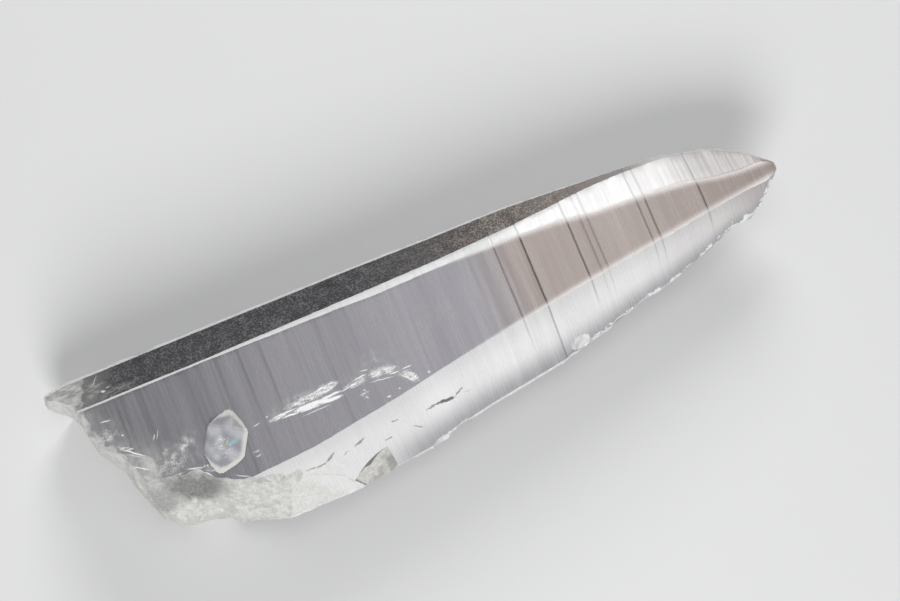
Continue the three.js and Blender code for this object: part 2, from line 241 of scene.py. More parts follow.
# A short step's rise at x, by shares of the face's width
def stepRise(form, step, x, shares):
    end, side = form["shortSteps"]["endSlope"], form["shortSteps"]["sideSlope"]
    if not step["start"] - end < x < step["stop"] + end:
        return 0
    inside = smoothStep(step["start"] - end, step["start"] + end, x)
    inside *= 1 - smoothStep(step["stop"] - end, step["stop"] + end, x)
    window = smoothStep(step["from"], step["from"] + side, shares)
    window *= 1 - smoothStep(step["to"] - side, step["to"], shares)
    return step["relief"] * inside * window


# Shares of a side's width, closer together beside its corners
def columnShares(count, crowding):
    even = np.arange(count) / count
    return even - crowding * np.sin(2 * math.pi * even) / (2 * math.pi)


def ringPoints(form, x, corners, steps):
    normals = outwardNormals(corners)
    following = np.roll(corners, -1, axis=0)
    fade = np.clip((form["tip"][0] - x) / form["taperFade"], form["leastFade"], 1)
    meanWear, wearSwing = form["wearSwing"]
    points = []
    for k, face in enumerate(faceNames):
        shares = columnShares(form["columns"][face], form["crowding"])
        side = corners[k] + (following[k] - corners[k]) * shares[:, None]
        width = np.linalg.norm(following[k] - corners[k])
        fromEdge = np.minimum(shares, 1 - shares) * width
        wear = meanWear + wearSwing * math.prod(
            math.sin(x * perMm + k * shift) for perMm, shift in form["wearWaves"])
        rise = -form["edgeWear"] * wear * np.exp(-(fromEdge / form["edgeReach"]) ** 2)
        for step in steps[face]:
            rise = rise + stepRise(form, step, x, shares)
        if face == "bottom":
            rise = np.minimum(rise, 0)
        points.append(side + normals[k] * (rise * fade)[:, None])
    return np.concatenate(points)


# Where the rings stand along a tread, with one more close to an end that borders on a deep line
def ringPlaces(form, first, last, besideLine):
    count = max(1, round((last - first) / form["ringSpacing"]))
    places = list(np.linspace(first, last, count + 1))
    if besideLine[0]:
        places.insert(1, first + form["lineGuard"])
    if besideLine[1]:
        places.insert(-1, last - form["lineGuard"])
    return places


def prismRings(form):
    steps = shortSteps(form)
    treads = layTreads(form)
    deep = [False] + [sunk > 0 for _, _, sunk in treads] + [False]
    rings = []
    for i, tread in enumerate(treads):
        middle, half = (tread[0] + tread[1]) / 2, (tread[1] - tread[0]) / 2
        besideLine = (deep[i], deep[i + 2])
        first, last = [
            (middle + side * (half - (form["lineInset"] if beside else min(form["riser"] / 2, half / 3))),
             treadCorners(form, tread, i, middle + side * half * form["treadTaper"]))
            for side, beside in zip((-1, 1), besideLine)
        ]
        for x in ringPlaces(form, first[0], last[0], besideLine):
            share = (x - first[0]) / (last[0] - first[0])
            corners = first[1] + (last[1] - first[1]) * share
            rings.append((x, ringPoints(form, x, corners, steps)))
    tip = np.array(form["tip"][1:])
    lastPoints = rings[-1][1]
    shrink = form["tipWidth"] / np.ptp(lastPoints[:, 0])
    for share in form["tipRings"]:
        x = form["ladderEnd"] + (form["tip"][0] - form["ladderEnd"]) * share
        size = 1 + (shrink - 1) * share ** form["tipCurve"]
        rings.append((x, tip + (lastPoints - tip) * size))
    return rings


def addPiece(name, mesh, materials):
    for material in materials:
        mesh.materials.append(material)
    piece = bpy.data.objects.new(name, mesh)
    bpy.context.scene.collection.objects.link(piece)
    return piece


def pieceFromFaces(name, vertices, faces, materials):
    mesh = bpy.data.meshes.new(name)
    mesh.from_pydata([tuple(v) for v in vertices], [], faces)
    mesh.update()
    return addPiece(name, mesh, materials)


def pieceFromBmesh(name, work, materials):
    mesh = bpy.data.meshes.new(name)
    work.to_mesh(mesh)
    work.free()
    return addPiece(name, mesh, materials)


def readPoints(piece):
    points = np.zeros(len(piece.data.vertices) * 3)
    piece.data.vertices.foreach_get("co", points)
    return points.reshape(-1, 3)


def writePoints(piece, points):
    piece.data.vertices.foreach_set("co", points.ravel())
    piece.data.update()


def turnFacesOut(piece):
    work = bmesh.new()
    work.from_mesh(piece.data)
    bmesh.ops.recalc_face_normals(work, faces=work.faces)
    work.to_mesh(piece.data)
    work.free()


# The material of each column of a ring, by face, with the frosted ones beside the worn edges, whose white is
# partly painted highlight
def columnMaterials(form, materials):
    kinds = []
    for face, count in form["columns"].items():
        first, last = form["frostAndHighlightColumns"].get(face, (0, 0))
        kinds += [materials["edge"]] * first + [materials[face]] * (count - first - last)
        kinds += [materials["edge"]] * last
    return kinds


def makePrism(form, materials):
    rings = prismRings(form)
    count = len(rings[0][1])
    vertices, faces, faceKinds = [], [], []
    used = list({material.name: material for material in materials.values()}.values())
    kinds = [used.index(material) for material in columnMaterials(form, materials)]
    for x, points in rings:
        vertices += [(x, y, z) for y, z in points]
    for i in range(len(rings) - 1):
        for j in range(count):
            a, b = i * count + j, i * count + (j + 1) % count
            faces.append((a, b, b + count, a + count))
            faceKinds.append(kinds[j])
    for end in (0, len(rings) - 1):
        centre = len(vertices)
        x, points = rings[end]
        vertices.append((x, points[:, 0].mean(), points[:, 1].mean()))
        for j in range(count):
            faces.append((end * count + j, end * count + (j + 1) % count, centre))
            faceKinds.append(kinds[j])
    piece = pieceFromFaces("quartzPrism", vertices, faces, used)
    piece.data.polygons.foreach_set("material_index", faceKinds)
    turnFacesOut(piece)
    return piece


breakForm = {
    # where the lip of the break lies along the crystal, and how far its rim leans back
    "lip": [(-14, 22), (-12.6, 20), (-11.4, 17), (-9.4, 12), (-8.3, 9.5), (-6.8, 8), (-4.8, 7.2),
            (-2.2, 6.5), (-0.2, 6.3), (1.3, 5.5), (2.8, 4.5), (5.4, 3.8), (7.3, 3), (8.9, 2), (9.9, 1),
            (11.2, -0.8), (14, -0.3)],
    "lean": [(-14, 1), (-8, 3), (-5.7, 2.5), (-1.6, 2.1), (1.4, 0.8), (5.5, 0.9), (7.1, 1.5),
             (11, 3.8), (14, 4)],
    "lipHeight": 3.5,
    "rimHeight": 15,
    "leanCurve": 1.4,
    "undercut": 1.1,
    "across": (-15, 15),
    "up": (-3, 19),
    "depth": 30,
    "cell": 0.28,
    # the second break, which takes the near corner off: its crack across the broad face, and how far
    # it then steps out at depths below that face
    "cornerCrack": [(-3, -3.8), (11.5, -4.2), (15.3, -4.5), (17, -6.2), (18.7, -6.8), (21.3, -8.1),
                    (27.4, -9.3), (30, -12), (40, -20)],
    "cornerProfile": [(0, 0), (2.5, 0.05), (6, 2.3), (9, 4.7), (12, 4.8), (15, 4.6)],
    "cornerAlong": (-5, 35),
    "cornerUp": (-4, 20),
    "cornerCell": 0.35,
    # relief
    "ripple": 0.3,
    "grain": 0.12,
    "cornerGrain": 0.09,
    "shellCentre": (-11, 16),
    "shells": [(0.5, 5.7), (0.3, 2.7)],  # share of the ripple and step of each set of shells
    "swellStep": 18,
    "grainStep": 1.6,
    "hackle": 0.008,
    "hackleStep": 0.62,
}


# The relief of a break: shells round a centre, a swell, grain and hackle. The bare numbers only keep
# the waves out of step with each other.
def conchoidal(form, across, up, grain):
    shell = np.hypot(across - form["shellCentre"][0], up - form["shellCentre"][1])
    shells = sum(share * wave(shell, step) for share, step in form["shells"])
    swell = wave(across, form["swellStep"], 1.3) * wave(up, form["swellStep"], 2)
    fine = wave(across + up / 2, form["grainStep"]) * wave(up - across / 4, form["grainStep"])
    step = form["hackleStep"]
    hackle = wave(shell + 0.3 * wave(across, 3.1), step) * wave(across - up * 0.7, 1.9 * step, 0.6)
    return form["ripple"] * (shells + swell) + grain * fine + form["hackle"] * hackle


# A closed slab between two grids of points of the same size
def makeSlab(name, front, back, material):
    rows, columns = front.shape[:2]
    vertices = np.concatenate([front.reshape(-1, 3), back.reshape(-1, 3)])
    rear = rows * columns
    faces = []
    for i in range(rows - 1):
        for j in range(columns - 1):
            a = i * columns + j
            quad = (a, a + 1, a + columns + 1, a + columns)
            faces.append(quad)
            faces.append(tuple(rear + v for v in reversed(quad)))
    border = list(range(columns)) + [i * columns + columns - 1 for i in range(1, rows)]
    border += [(rows - 1) * columns + j for j in range(columns - 2, -1, -1)]
    border += [i * columns for i in range(rows - 2, 0, -1)]
    for here, following in zip(border, border[1:] + border[:1]):
        faces.append((following, here, here + rear, following + rear))
    piece = pieceFromFaces(name, vertices, faces, [material])
    turnFacesOut(piece)
    return piece


def makeRootCutter(form, material):
    columns = np.arange(form["across"][0], form["across"][1], form["cell"])
    rows = np.arange(form["up"][0], form["up"][1], form["cell"])
    y, z = np.meshgrid(columns, rows)
    lip = form["lipHeight"]
    rise = np.maximum(0, (z - lip) / (form["rimHeight"] - lip))
    drop = np.clip((lip - z) / lip, 0, 1)
    lean = along(form["lean"], y) * rise ** form["leanCurve"] + form["undercut"] * drop ** 2
    x = along(form["lip"], y) + lean + conchoidal(form, y, z, form["grain"])
    front = np.stack([x, y, z], 2)
    back = np.stack([np.full_like(x, -form["depth"]), y, z], 2)
    return makeSlab("rootCutter", front, back, material)


def makeCornerCutter(form, material):
    columns = np.arange(form["cornerAlong"][0], form["cornerAlong"][1], form["cornerCell"])
    rows = np.arange(form["cornerUp"][0], form["cornerUp"][1], form["cornerCell"])
    x, z = np.meshgrid(columns, rows)
    face = along(form["cornerCrack"], x) - along(form["cornerProfile"], form["rimHeight"] - z)
    y = face - conchoidal(form, x, z, form["cornerGrain"])
    front = np.stack([x, y, z], 2)
    back = np.stack([x, np.full_like(y, -form["depth"]), z], 2)
    return makeSlab("cornerCutter", front, back, material)


sideways, upwards = math.sin(math.pi / 3), math.cos(math.pi / 3)  # the way out of a side face
nearUpperOut = (0, -sideways, upwards)
nearLowerOut = (0, -sideways, -upwards)
farLowerOut = (0, sideways, -upwards)
chipForm = {
    # a point on the surface, the way out of it, half the width and the depth
    "large": [
        ((37.2, -12.5, 5.2), nearUpperOut, 1.3, 0.35),
        ((42.7, -11.4, 4.9), (0.3, -0.9, 0.1), 1.5, 0.45),
        ((46.2, -10.5, 4.6), (0.1, -0.9, 0.3), 1.1, 0.3),
        ((63.1, -6.9, 6), nearUpperOut, 1.3, 0.4),
        ((61.9, -7.2, 6.2), (0.2, -0.9, 0.4), 0.75, 0.22),
        ((64.4, -7.0, 5.2), (0.3, -0.9, 0.1), 0.7, 0.2),
        ((71.4, -5.2, 5.4), (0.3, -0.9, 0), 0.9, 0.3),
        ((78.2, -3.6, 5.8), (0.2, -0.95, 0), 0.9, 0.28),
        ((13.5, 13, 5), (-0.1, 0.98, 0.05), 1.5, 0.4),
    ],
    "below": [
        ((27.5, -12.1, 3.2), nearLowerOut, 2.2, 0.5),
        ((52.5, 11.4, 4.4), farLowerOut, 1.6, 0.4),
        ((21, 11.5, 1.4), farLowerOut, 2.4, 0.6),
    ],
    "smallCount": 84,  # nicks along the near edge, from the chips to the tip
    "smallSpan": (36, 90),
    "cleanSpan": (46.8, 61.3),  # where the near edge has no nicks
    "smallReach": (0.3, 0.95),
    "smallDepth": (0.16, 0.3),  # by reach
    "smallTurn": 0.3,
    "farCount": 24,
    "farSize": 0.7,
    "ripple": 0.025,
    "rippleStep": (0.35, 0.15),  # and how much of the reach is added to it
    "fineFrom": 2,  # the reach from which a chip's ball is finer
    "seed": 11,
}


# Nicks along the near edge and a few along the far one
def nickList(form, crystal):
    draw = random.Random(form["seed"])
    nicks = []
    for k in range(form["smallCount"] + form["farCount"]):
        far = k >= form["smallCount"]
        x = draw.uniform(*form["smallSpan"])
        corner = smoothSection(crystal, x)[faceNames.index("far upper" if far else "near lower")]
        reach = draw.uniform(*form["smallReach"]) * (form["farSize"] if far else 1)
        turn = form["smallTurn"]
        out = (draw.uniform(-turn, turn), 1 if far else -1, draw.uniform(-turn, turn))
        nick = ((x, *corner), out, reach, reach * draw.uniform(*form["smallDepth"]))
        if far or not form["cleanSpan"][0] < x < form["cleanSpan"][1]:
            nicks.append(nick)
    return nicks


def ballOfChip(at, out, reach, depth):
    radius = (reach ** 2 + depth ** 2) / (2 * depth)
    return Vector(at) + Vector(out).normalized() * (radius - depth), radius


# Presses each nick's ball into the surface
def pressNicks(piece, nicks):
    points = readPoints(piece)
    for nick in nicks:
        centre, radius = ballOfChip(*nick)
        away = points - np.array(centre)
        distance = np.linalg.norm(away, axis=1)
        inside = distance < radius
        points[inside] = np.array(centre) + away[inside] * (radius / distance[inside])[:, None]
    writePoints(piece, points)


# A ball whose cap bites a shallow rippled dish out of the surface
def makeChipCutter(form, chip, material):
    at, reach = Vector(chip[0]), chip[2]
    centre, radius = ballOfChip(*chip)
    work = bmesh.new()
    bmesh.ops.create_icosphere(work, subdivisions=6 if reach > form["fineFrom"] else 5, radius=radius)
    step = form["rippleStep"][0] + form["rippleStep"][1] * reach
    for vertex in work.verts:
        point = vertex.co + centre
        shell = (point - at - Vector((reach, 0, 0))).length
        ripple = form["ripple"] * math.sin(2 * math.pi * shell / step)
        vertex.co = centre + vertex.co.normalized() * (radius + ripple)
    return pieceFromBmesh("chipCutter", work, [material])


# The leaf-shaped scar above the near edge. Its outline runs along the crystal and up the near upper
# face, measured from the foot of its straight side.
leafForm = {
    "foot": (36.8, -12.3, 4.72),
    "tip": (-5.3, 2.3),
    "bend": (-2.4, 4.95),
    "top": (0.15, 4.8),
    "below": -1.4,
    "depth": 0.22,
    "clear": 2,
    "dip": 2,
    "lean": 60,
    "turn": 8.3,
    "steepSide": 1.05,  # how far in the steep side comes before it meets the floor
    "thinSide": 0.04,  # how far the other sides do
    "steepCurve": (0.75, 0.6),
    "points": (12, 36, 12, 8),  # on each stretch of the outline
    "rings": 14,
    "ripple": 0.035,
    "rippleStep": 0.8,
}


# The scar's outline anticlockwise, and how far its steep side comes in at each point
def leafOutline(form):
    tip, bend, top = (Vector(form[name]) for name in ("tip", "bend", "top"))
    below, thin = form["below"], form["thinSide"]
    foot, low = Vector((0, below)), Vector((tip.x - below, below))
    skew, fullness = form["steepCurve"]
    points, sides = [], []
    for start, end, count in zip((foot, top, tip, low), (top, tip, low, foot), form["points"]):
        for share in np.linspace(0, 1, count, endpoint=False):
            if start is top:
                points.append(top.lerp(bend, share).lerp(bend.lerp(tip, share), share))
                bulge = math.sin(math.pi * share ** skew) ** fullness
            else:
                points.append(start.lerp(end, share))
                bulge = 0
            sides.append(thin + (form["steepSide"] - thin) * bulge)
    return points, sides


def makeLeafCutter(form, floorMaterial, sideMaterial):
    points, sides = leafOutline(form)
    middle = sum(points, Vector((0, 0))) / len(points)
    dip = math.radians(form["dip"])
    work = bmesh.new()
    rings = [[work.verts.new((p.x, p.y, form["clear"])) for p in points],
             [work.verts.new((p.x, p.y, p.y * math.tan(dip))) for p in points]]
    inner = [p + (middle - p).normalized() * side for p, side in zip(points, sides)]
    for k in range(form["rings"]):
        ring = []
        for p in inner:
            spot = p.lerp(middle, k / form["rings"])
            ripple = form["ripple"] * math.sin(2 * math.pi * spot.length / form["rippleStep"])
            ring.append(work.verts.new((spot.x, spot.y, ripple - form["depth"])))
        rings.append(ring)
    count = len(points)
    for i, (outer, ring) in enumerate(zip(rings, rings[1:])):
        for j in range(count):
            n = (j + 1) % count
            face = work.faces.new((outer[j], outer[n], ring[n], ring[j]))
            # the steep side takes the painted shade of the scar's undercut
            face.material_index = int(i == 1 and sides[j] > 2 * form["thinSide"])
    work.faces.new(rings[0])
    work.faces.new(list(reversed(rings[-1])))
    bmesh.ops.recalc_face_normals(work, faces=work.faces)
    turn = Matrix.Rotation(math.radians(form["turn"]), 4, "Z")
    turn @= Matrix.Rotation(math.radians(form["lean"]) - dip, 4, "X")
    bmesh.ops.transform(work, matrix=Matrix.Translation(form["foot"]) @ turn, verts=work.verts)
    return pieceFromBmesh("leafCutter", work, [floorMaterial, sideMaterial])


seedlingForm = {
    "length": 9.3,
    "prism": 3.2,
    "radius": 2.85,
    "flatten": 0.6,
    "stands": 1.2,  # above the broad face
    "place": (19.5, -2.8),
    "turn": 60,
    "roll": 13,
    "edgeWidth": 0.16,
}


# Six prism faces between two points, with narrow bevelled edges
def makeSeedling(form, crystal, material):
    half, prism, radius = form["length"] / 2, form["prism"] / 2, form["radius"]
    work = bmesh.new()
    angles = [math.radians(60 * k + form["roll"]) for k in range(6)]
    start = work.verts.new((0, -half, 0))
    low, high = [[work.verts.new((radius * math.sin(a), y, radius * math.cos(a) * form["flatten"]))
                  for a in angles] for y in (-prism, prism)]
    end = work.verts.new((0, half, 0))
    for k in range(6):
        n = (k + 1) % 6
        work.faces.new((start, low[k], low[n]))
        work.faces.new((low[k], high[k], high[n], low[n]))
        work.faces.new((high[k], end, high[n]))
    bmesh.ops.recalc_face_normals(work, faces=work.faces)
    bmesh.ops.bevel(work, geom=work.edges[:], offset=form["edgeWidth"], segments=2, affect="EDGES")
    x, y = form["place"]
    highest = max(vertex.co.z for vertex in work.verts)
    place = Matrix.Translation((x, y, along(crystal["top"], x) + form["stands"] - highest))
    turn = Matrix.Rotation(math.radians(form["turn"] - 90), 4, "Z")
    bmesh.ops.transform(work, matrix=place @ turn, verts=work.verts)
    return pieceFromBmesh("seedling", work, [material])


def applyBoolean(piece, cutter, operation):
    change = piece.modifiers.new("cut", "BOOLEAN")
    change.object = cutter
    change.operation = operation
    change.solver = "MANIFOLD"
    change.material_mode = "TRANSFER"
    shaped = bpy.data.meshes.new_from_object(
        piece.evaluated_get(bpy.context.evaluated_depsgraph_get()))
    piece.modifiers.clear()
    old = piece.data
    piece.data = shaped
    bpy.data.meshes.remove(old)
    bpy.data.objects.remove(cutter)


# Node helpers
def addNode(tree, kind, inputs=None, **settings):
    node = tree.nodes.new(kind)
    for name, value in settings.items():
        setattr(node, name, value)
    for key, value in (inputs or {}).items():
        if isinstance(value, bpy.types.NodeSocket):
            tree.links.new(value, node.inputs[key])
        else:
            node.inputs[key].default_value = value
    return node


def calculate(tree, operation, a, b=0.0, clamp=False):
    return addNode(tree, "ShaderNodeMath", {0: a, 1: b}, operation=operation, use_clamp=clamp).outputs[0]


def plus(tree, a, b):
    return calculate(tree, "ADD", a, b)


def minus(tree, a, b):
    return calculate(tree, "SUBTRACT", a, b)


def times(tree, a, b, clamp=False):
    return calculate(tree, "MULTIPLY", a, b, clamp)


def larger(tree, a, b, clamp=False):
    return calculate(tree, "MAXIMUM", a, b, clamp)


def largestOf(tree, values):
    largest = values[0]
    for value in values[1:]:
        largest = larger(tree, largest, value)
    return largest


def onVectors(tree, operation, *values, output="Vector"):
    inputs = dict(enumerate(values))
    return addNode(tree, "ShaderNodeVectorMath", inputs, operation=operation).outputs[output]


def joined(tree, x, y, z=0.0):
    return addNode(tree, "ShaderNodeCombineXYZ", {"X": x, "Y": y, "Z": z}).outputs[0]


# A smooth change from start to end while the value goes from low to high. The spans in the
# dictionaries below hold these four numbers, or the first two.
def fromTo(tree, value, low, high, start=0.0, end=1.0):
    inputs = {"Value": value, "From Min": low, "From Max": high, "To Min": start, "To Max": end}
    return addNode(tree, "ShaderNodeMapRange", inputs, interpolation_type="SMOOTHSTEP").outputs[0]


def blendColor(tree, share, a, b):
    node = addNode(tree, "ShaderNodeMix", data_type="RGBA")
    for socket, value in ((node.inputs[0], share), (node.inputs[6], a), (node.inputs[7], b)):
        if isinstance(value, bpy.types.NodeSocket):
            tree.links.new(value, socket)
        else:
            socket.default_value = value if isinstance(value, float) else (*value, 1)
    return node.outputs[2]


# The dictionaries hold noise as how many cells it has per mm and its detail
def evenNoise(tree, place, perMm, detail, roughness=0.55):
    inputs = {"Vector": place, "Scale": perMm, "Detail": detail, "Roughness": roughness}
    return addNode(tree, "ShaderNodeTexNoise", inputs).outputs["Fac"]


# Noise drawn out across the crystal, so that it makes lines square to its axis
def lineNoise(tree, place, perMm, stretch, detail):
    scaled = onVectors(tree, "MULTIPLY", place, (perMm, perMm / stretch, perMm / stretch))
    return evenNoise(tree, scaled, 1.0, detail, 0.6)


# Noise round nought, to move something by up to about half of reach
def wander(tree, place, perMm, detail, reach):
    return times(tree, minus(tree, evenNoise(tree, place, perMm, detail), 0.5), reach)


# Shifts a place by noise, so that what is drawn with it gets a ragged outline
def jittered(tree, facePlace, reach, perMm):
    noise = addNode(tree, "ShaderNodeTexNoise", {"Vector": facePlace, "Scale": perMm, "Detail": 4.0})
    centred = onVectors(tree, "SUBTRACT", noise.outputs["Color"], (0.5, 0.5, 0.5))
    return onVectors(tree, "MULTIPLY_ADD", centred, (reach, reach, 0), facePlace)


def colorAlong(tree, x, stops):
    length = crystalForm["tip"][0]
    ramp = addNode(tree, "ShaderNodeValToRGB", {"Fac": calculate(tree, "DIVIDE", x, length)})
    elements = ramp.color_ramp.elements
    while len(elements) < len(stops):
        elements.new(0.5)
    for element, (station, color) in zip(elements, stops):
        element.position = station / length
        element.color = (*color, 1)
    return ramp.outputs["Color"]


# A line of the crystal's form as a value in nodes. Its values lie between low and high.
def lineInNodes(tree, x, line, low=-15.0, high=15.0):
    stops = [(station, ((value - low) / (high - low),) * 3) for station, value in line]
    share = addNode(tree, "ShaderNodeSeparateColor", {0: colorAlong(tree, x, stops)}).outputs[0]
    return plus(tree, times(tree, share, high - low), low)


def edgeInNodes(tree, x, face, across):
    return lineInNodes(tree, x, edgeOnFace(crystalForm, face, across))


quartzLook = {
    "ior": 1.544,
    "absorbColor": (0.78, 0.77, 0.84),
    "absorbPerMetre": 40.0,
    "clearUnderMarks": 0.06,  # the transmission where a mark is at full strength
    "bumpDepth": 0.03,
    # the striae: cells per mm along the crystal, how far they are drawn out across it, detail
    "fineLines": (4.2, 40, 4.0),
    "broadLines": (0.8, 18, 3.0),
    "fineShare": 0.6,
    "lineLevels": (0.3, 0.7),
    "bandLevels": (0.34, 0.66),
    "roughnessSwing": (0.7, 1.3),
    "crowdFrom": (49.0, 56.0, 1.0, 2.4),  # the stretch where the broad ones are stronger
    "crowdTo": (60.0, 64.0, 1.0, 0.35),
}


def startMaterial(name):
    material = bpy.data.materials.new(name)
    material.use_nodes = True
    tree = material.node_tree
    tree.nodes.clear()
    shader = addNode(tree, "ShaderNodeBsdfPrincipled", {"IOR": quartzLook["ior"]})
    absorb = addNode(tree, "ShaderNodeVolumeAbsorption", {
        "Color": (*quartzLook["absorbColor"], 1), "Density": quartzLook["absorbPerMetre"]})
    addNode(tree, "ShaderNodeOutputMaterial", {"Surface": shader.outputs[0], "Volume": absorb.outputs[0]})
    # where a point is, in millimetres in the crystal's own stations
    coordinates = addNode(tree, "ShaderNodeTexCoord").outputs["Object"]
    inMillimetres = onVectors(tree, "MULTIPLY", coordinates, (1 / mm,) * 3)
    return material, tree, shader, onVectors(tree, "ADD", inMillimetres, (stationShift, 0, 0))


def splitPlace(tree, place):
    node = addNode(tree, "ShaderNodeSeparateXYZ", {0: place})
    return node.outputs["X"], node.outputs["Y"], node.outputs["Z"]


def finishShader(tree, shader, color, clear, roughness, height, strength, depth):
    bump = addNode(tree, "ShaderNodeBump", {"Height": height, "Strength": strength, "Distance": depth * mm})
    shown = {"Base Color": color, "Transmission Weight": clear, "Roughness": roughness,
             "Normal": bump.outputs[0]}
    for name, value in shown.items():
        tree.links.new(value, shader.inputs[name])


# along: what the face scatters at stations along the crystal. veil: how much of it scatters instead
# of letting light through. lines, bands: how far the fine and broad striae lighten and darken it.
# milky, growth: how strong the root's milk and the painted shade of the growth lines are on it.
# across: the way across the face in y and z, which its marks are placed by
finishes = {
    "broadFace": {
        "along": [(8, (0.29, 0.28, 0.305)), (20, (0.335, 0.325, 0.355)), (28, (0.43, 0.415, 0.45)),
                  (37, (0.445, 0.43, 0.47)), (44, (0.54, 0.52, 0.57)), (48, (0.50, 0.48, 0.53)),
                  (52.5, (0.58, 0.56, 0.61)), (56, (0.55, 0.50, 0.51)), (60, (0.63, 0.525, 0.48)),
                  (64, (0.68, 0.575, 0.53)), (68, (0.65, 0.545, 0.50)), (72, (0.73, 0.625, 0.58)),
                  (77, (0.68, 0.58, 0.53)), (84, (0.67, 0.565, 0.515)), (90, (0.62, 0.51, 0.465))],
        "veil": 0.56, "roughness": 0.24, "lines": 0.035, "bands": 0.03, "bump": 0.4, "milky": 1.0,
        "growth": 1.0, "across": (1, 0),
        # a pale band painted along the long edges as their highlight, where they are worn soft
        "paintedEdgeHighlight": {"color": (0.90, 0.865, 0.85), "width": (44.0, 68.0, 0.15, 1.0),
                      "fade": (-0.3, 1.0, 1.0, 0.0), "along": (44.0, 58.0)},
    },
    "nearUpperFace": {
        # its near white is partly its own milky frost and partly painted highlight
        "along": [(10, (0.76, 0.76, 0.735)), (24, (0.79, 0.79, 0.78)), (30, (0.82, 0.82, 0.81)),
                  (40, (0.82, 0.82, 0.82)), (45, (0.91, 0.91, 0.91)), (49, (0.86, 0.86, 0.86)),
                  (53, (0.91, 0.91, 0.91)), (62, (0.87, 0.87, 0.865)), (72, (0.90, 0.89, 0.885)),
                  (78, (0.79, 0.77, 0.765)), (84, (0.73, 0.705, 0.695)), (90, (0.46, 0.43, 0.42))],
        "veil": 0.9, "roughness": 0.3, "lines": 0.012, "bands": 0.015, "bump": 0.04, "milky": 1.0,
        "growth": 0.5, "across": (0.5, 0.866),
        # painted shade: grey towards its long edges, by share of the way up the face
        "shade": {"color": (0.40, 0.40, 0.42), "lower": (0.04, 0.52, 1.0, 0.0), "lowerAlong": (33.0, 41.0),
                  "upper": (0.65, 1.0, 0.0, 0.26)},
        # only the second deep line runs down to the near edge
        "growthFade": {"up": (0.4, 0.9), "fullLine": 1, "beside": (0.5, 1.0, 0.85, 0.0)},
        # the band of nicks above the near edge, and the clean stretch in it
        "nicked": {"dark": (0.42, 0.44, 0.48), "light": (0.97, 0.97, 0.97), "ragged": (0.9, 4.0, 3.4),
                   "width": (0.5, 0.8, 1.0, 0.0), "flakesPerMm": 1.5, "flakeJitter": (0.6, 1.5),
                   "flakeTone": (0.15, 0.6), "from": (41.0, 44.0), "cleanFrom": (46.3, 48.0, 1.0, 0.0),
                   "cleanTo": (60.8, 62.5)},
    },
    "bevelFace": {
        # its white is partly its own milky frost and partly painted highlight
        "along": [(0, (0.80, 0.80, 0.785)), (36, (0.82, 0.82, 0.815)), (52, (0.86, 0.86, 0.86)),
                  (56, (0.78, 0.775, 0.77)), (61, (0.86, 0.86, 0.855)), (73, (0.84, 0.83, 0.825)),
                  (80, (0.71, 0.69, 0.68)), (85, (0.50, 0.475, 0.465)), (91, (0.36, 0.32, 0.305))],
        "veil": 0.95, "roughness": 0.3, "lines": 0.012, "bands": 0.012, "bump": 0.04, "milky": 0.5,
        "growth": 0.35, "across": (1, 0),
    },
    "farUpperFace": {
        # its near-black tone, lighter towards the tip, is painted shade, and its brownish tone past the
        # middle is a painted warm reflection
        "along": [(0, (0.02, 0.02, 0.023)), (40, (0.02, 0.02, 0.023)), (48, (0.055, 0.047, 0.043)),
                  (56, (0.075, 0.062, 0.055)), (62, (0.12, 0.099, 0.088)), (69, (0.20, 0.172, 0.156)),
                  (75, (0.30, 0.28, 0.27)), (79, (0.58, 0.56, 0.55)), (90, (0.60, 0.57, 0.56))],
        "veil": 0.98, "roughness": 0.12, "lines": 0.004, "bands": 0.004, "bump": 0.2, "milky": 1.0,
        "growth": 0.3, "across": (0.5, -0.866), "shine": 0.05,
        # grains in clouds, gone before the tip; past the middle their colour turns to a painted warm
        # reflection
        "specks": {"color": (0.14, 0.138, 0.145), "paintedWarmReflection": (0.36, 0.315, 0.28),
                   "warm": (46.0, 60.0), "fade": (66.0, 74.0, 1.0, 0.0), "grain": (4.4, 2.0, 1.0),
                   "cloud": (0.7, 2, 3.0), "cloudShare": 0.5, "level": (0.66, 0.95)},
    },
    "underFace": {
        "along": [(0, (0.60, 0.59, 0.63)), (54, (0.62, 0.61, 0.65)), (66, (0.66, 0.63, 0.61))],
        "veil": 0.35, "roughness": 0.2, "lines": 0.12, "bands": 0.1, "bump": 0.5, "milky": 1.0,
        "growth": 0.5, "across": (1, 0),
    },
}


# The face's colour with its striae, which are stronger where the growth lines crowd together
def striatedColor(tree, x, share, look, fineLines, broadLines):
    color = colorAlong(tree, x, look["along"])
    # painted shade on the near upper face, towards its long edges
    if "shade" in look:
        shade = look["shade"]
        lower = times(tree, fromTo(tree, share, *shade["lower"]), fromTo(tree, x, *shade["lowerAlong"]))
        both = larger(tree, lower, fromTo(tree, share, *shade["upper"]))
        color = blendColor(tree, both, color, shade["color"])
    fine = fromTo(tree, fineLines, *quartzLook["lineLevels"], -look["lines"], look["lines"])
    bands = fromTo(tree, broadLines, *quartzLook["bandLevels"], -look["bands"], look["bands"])
    crowded = times(tree, fromTo(tree, x, *quartzLook["crowdFrom"]), fromTo(tree, x, *quartzLook["crowdTo"]))
    lighter = plus(tree, fine, times(tree, crowded, bands))
    return onVectors(tree, "ADD", color, joined(tree, lighter, lighter, lighter))


# How far up the near upper face a place is, from its lower edge to the broad face
def shareOfFace(tree, x, v, across):
    low = edgeInNodes(tree, x, "near lower", across)
    high = edgeInNodes(tree, x, "near upper", across)
    return calculate(tree, "DIVIDE", minus(tree, v, low), minus(tree, high, low))


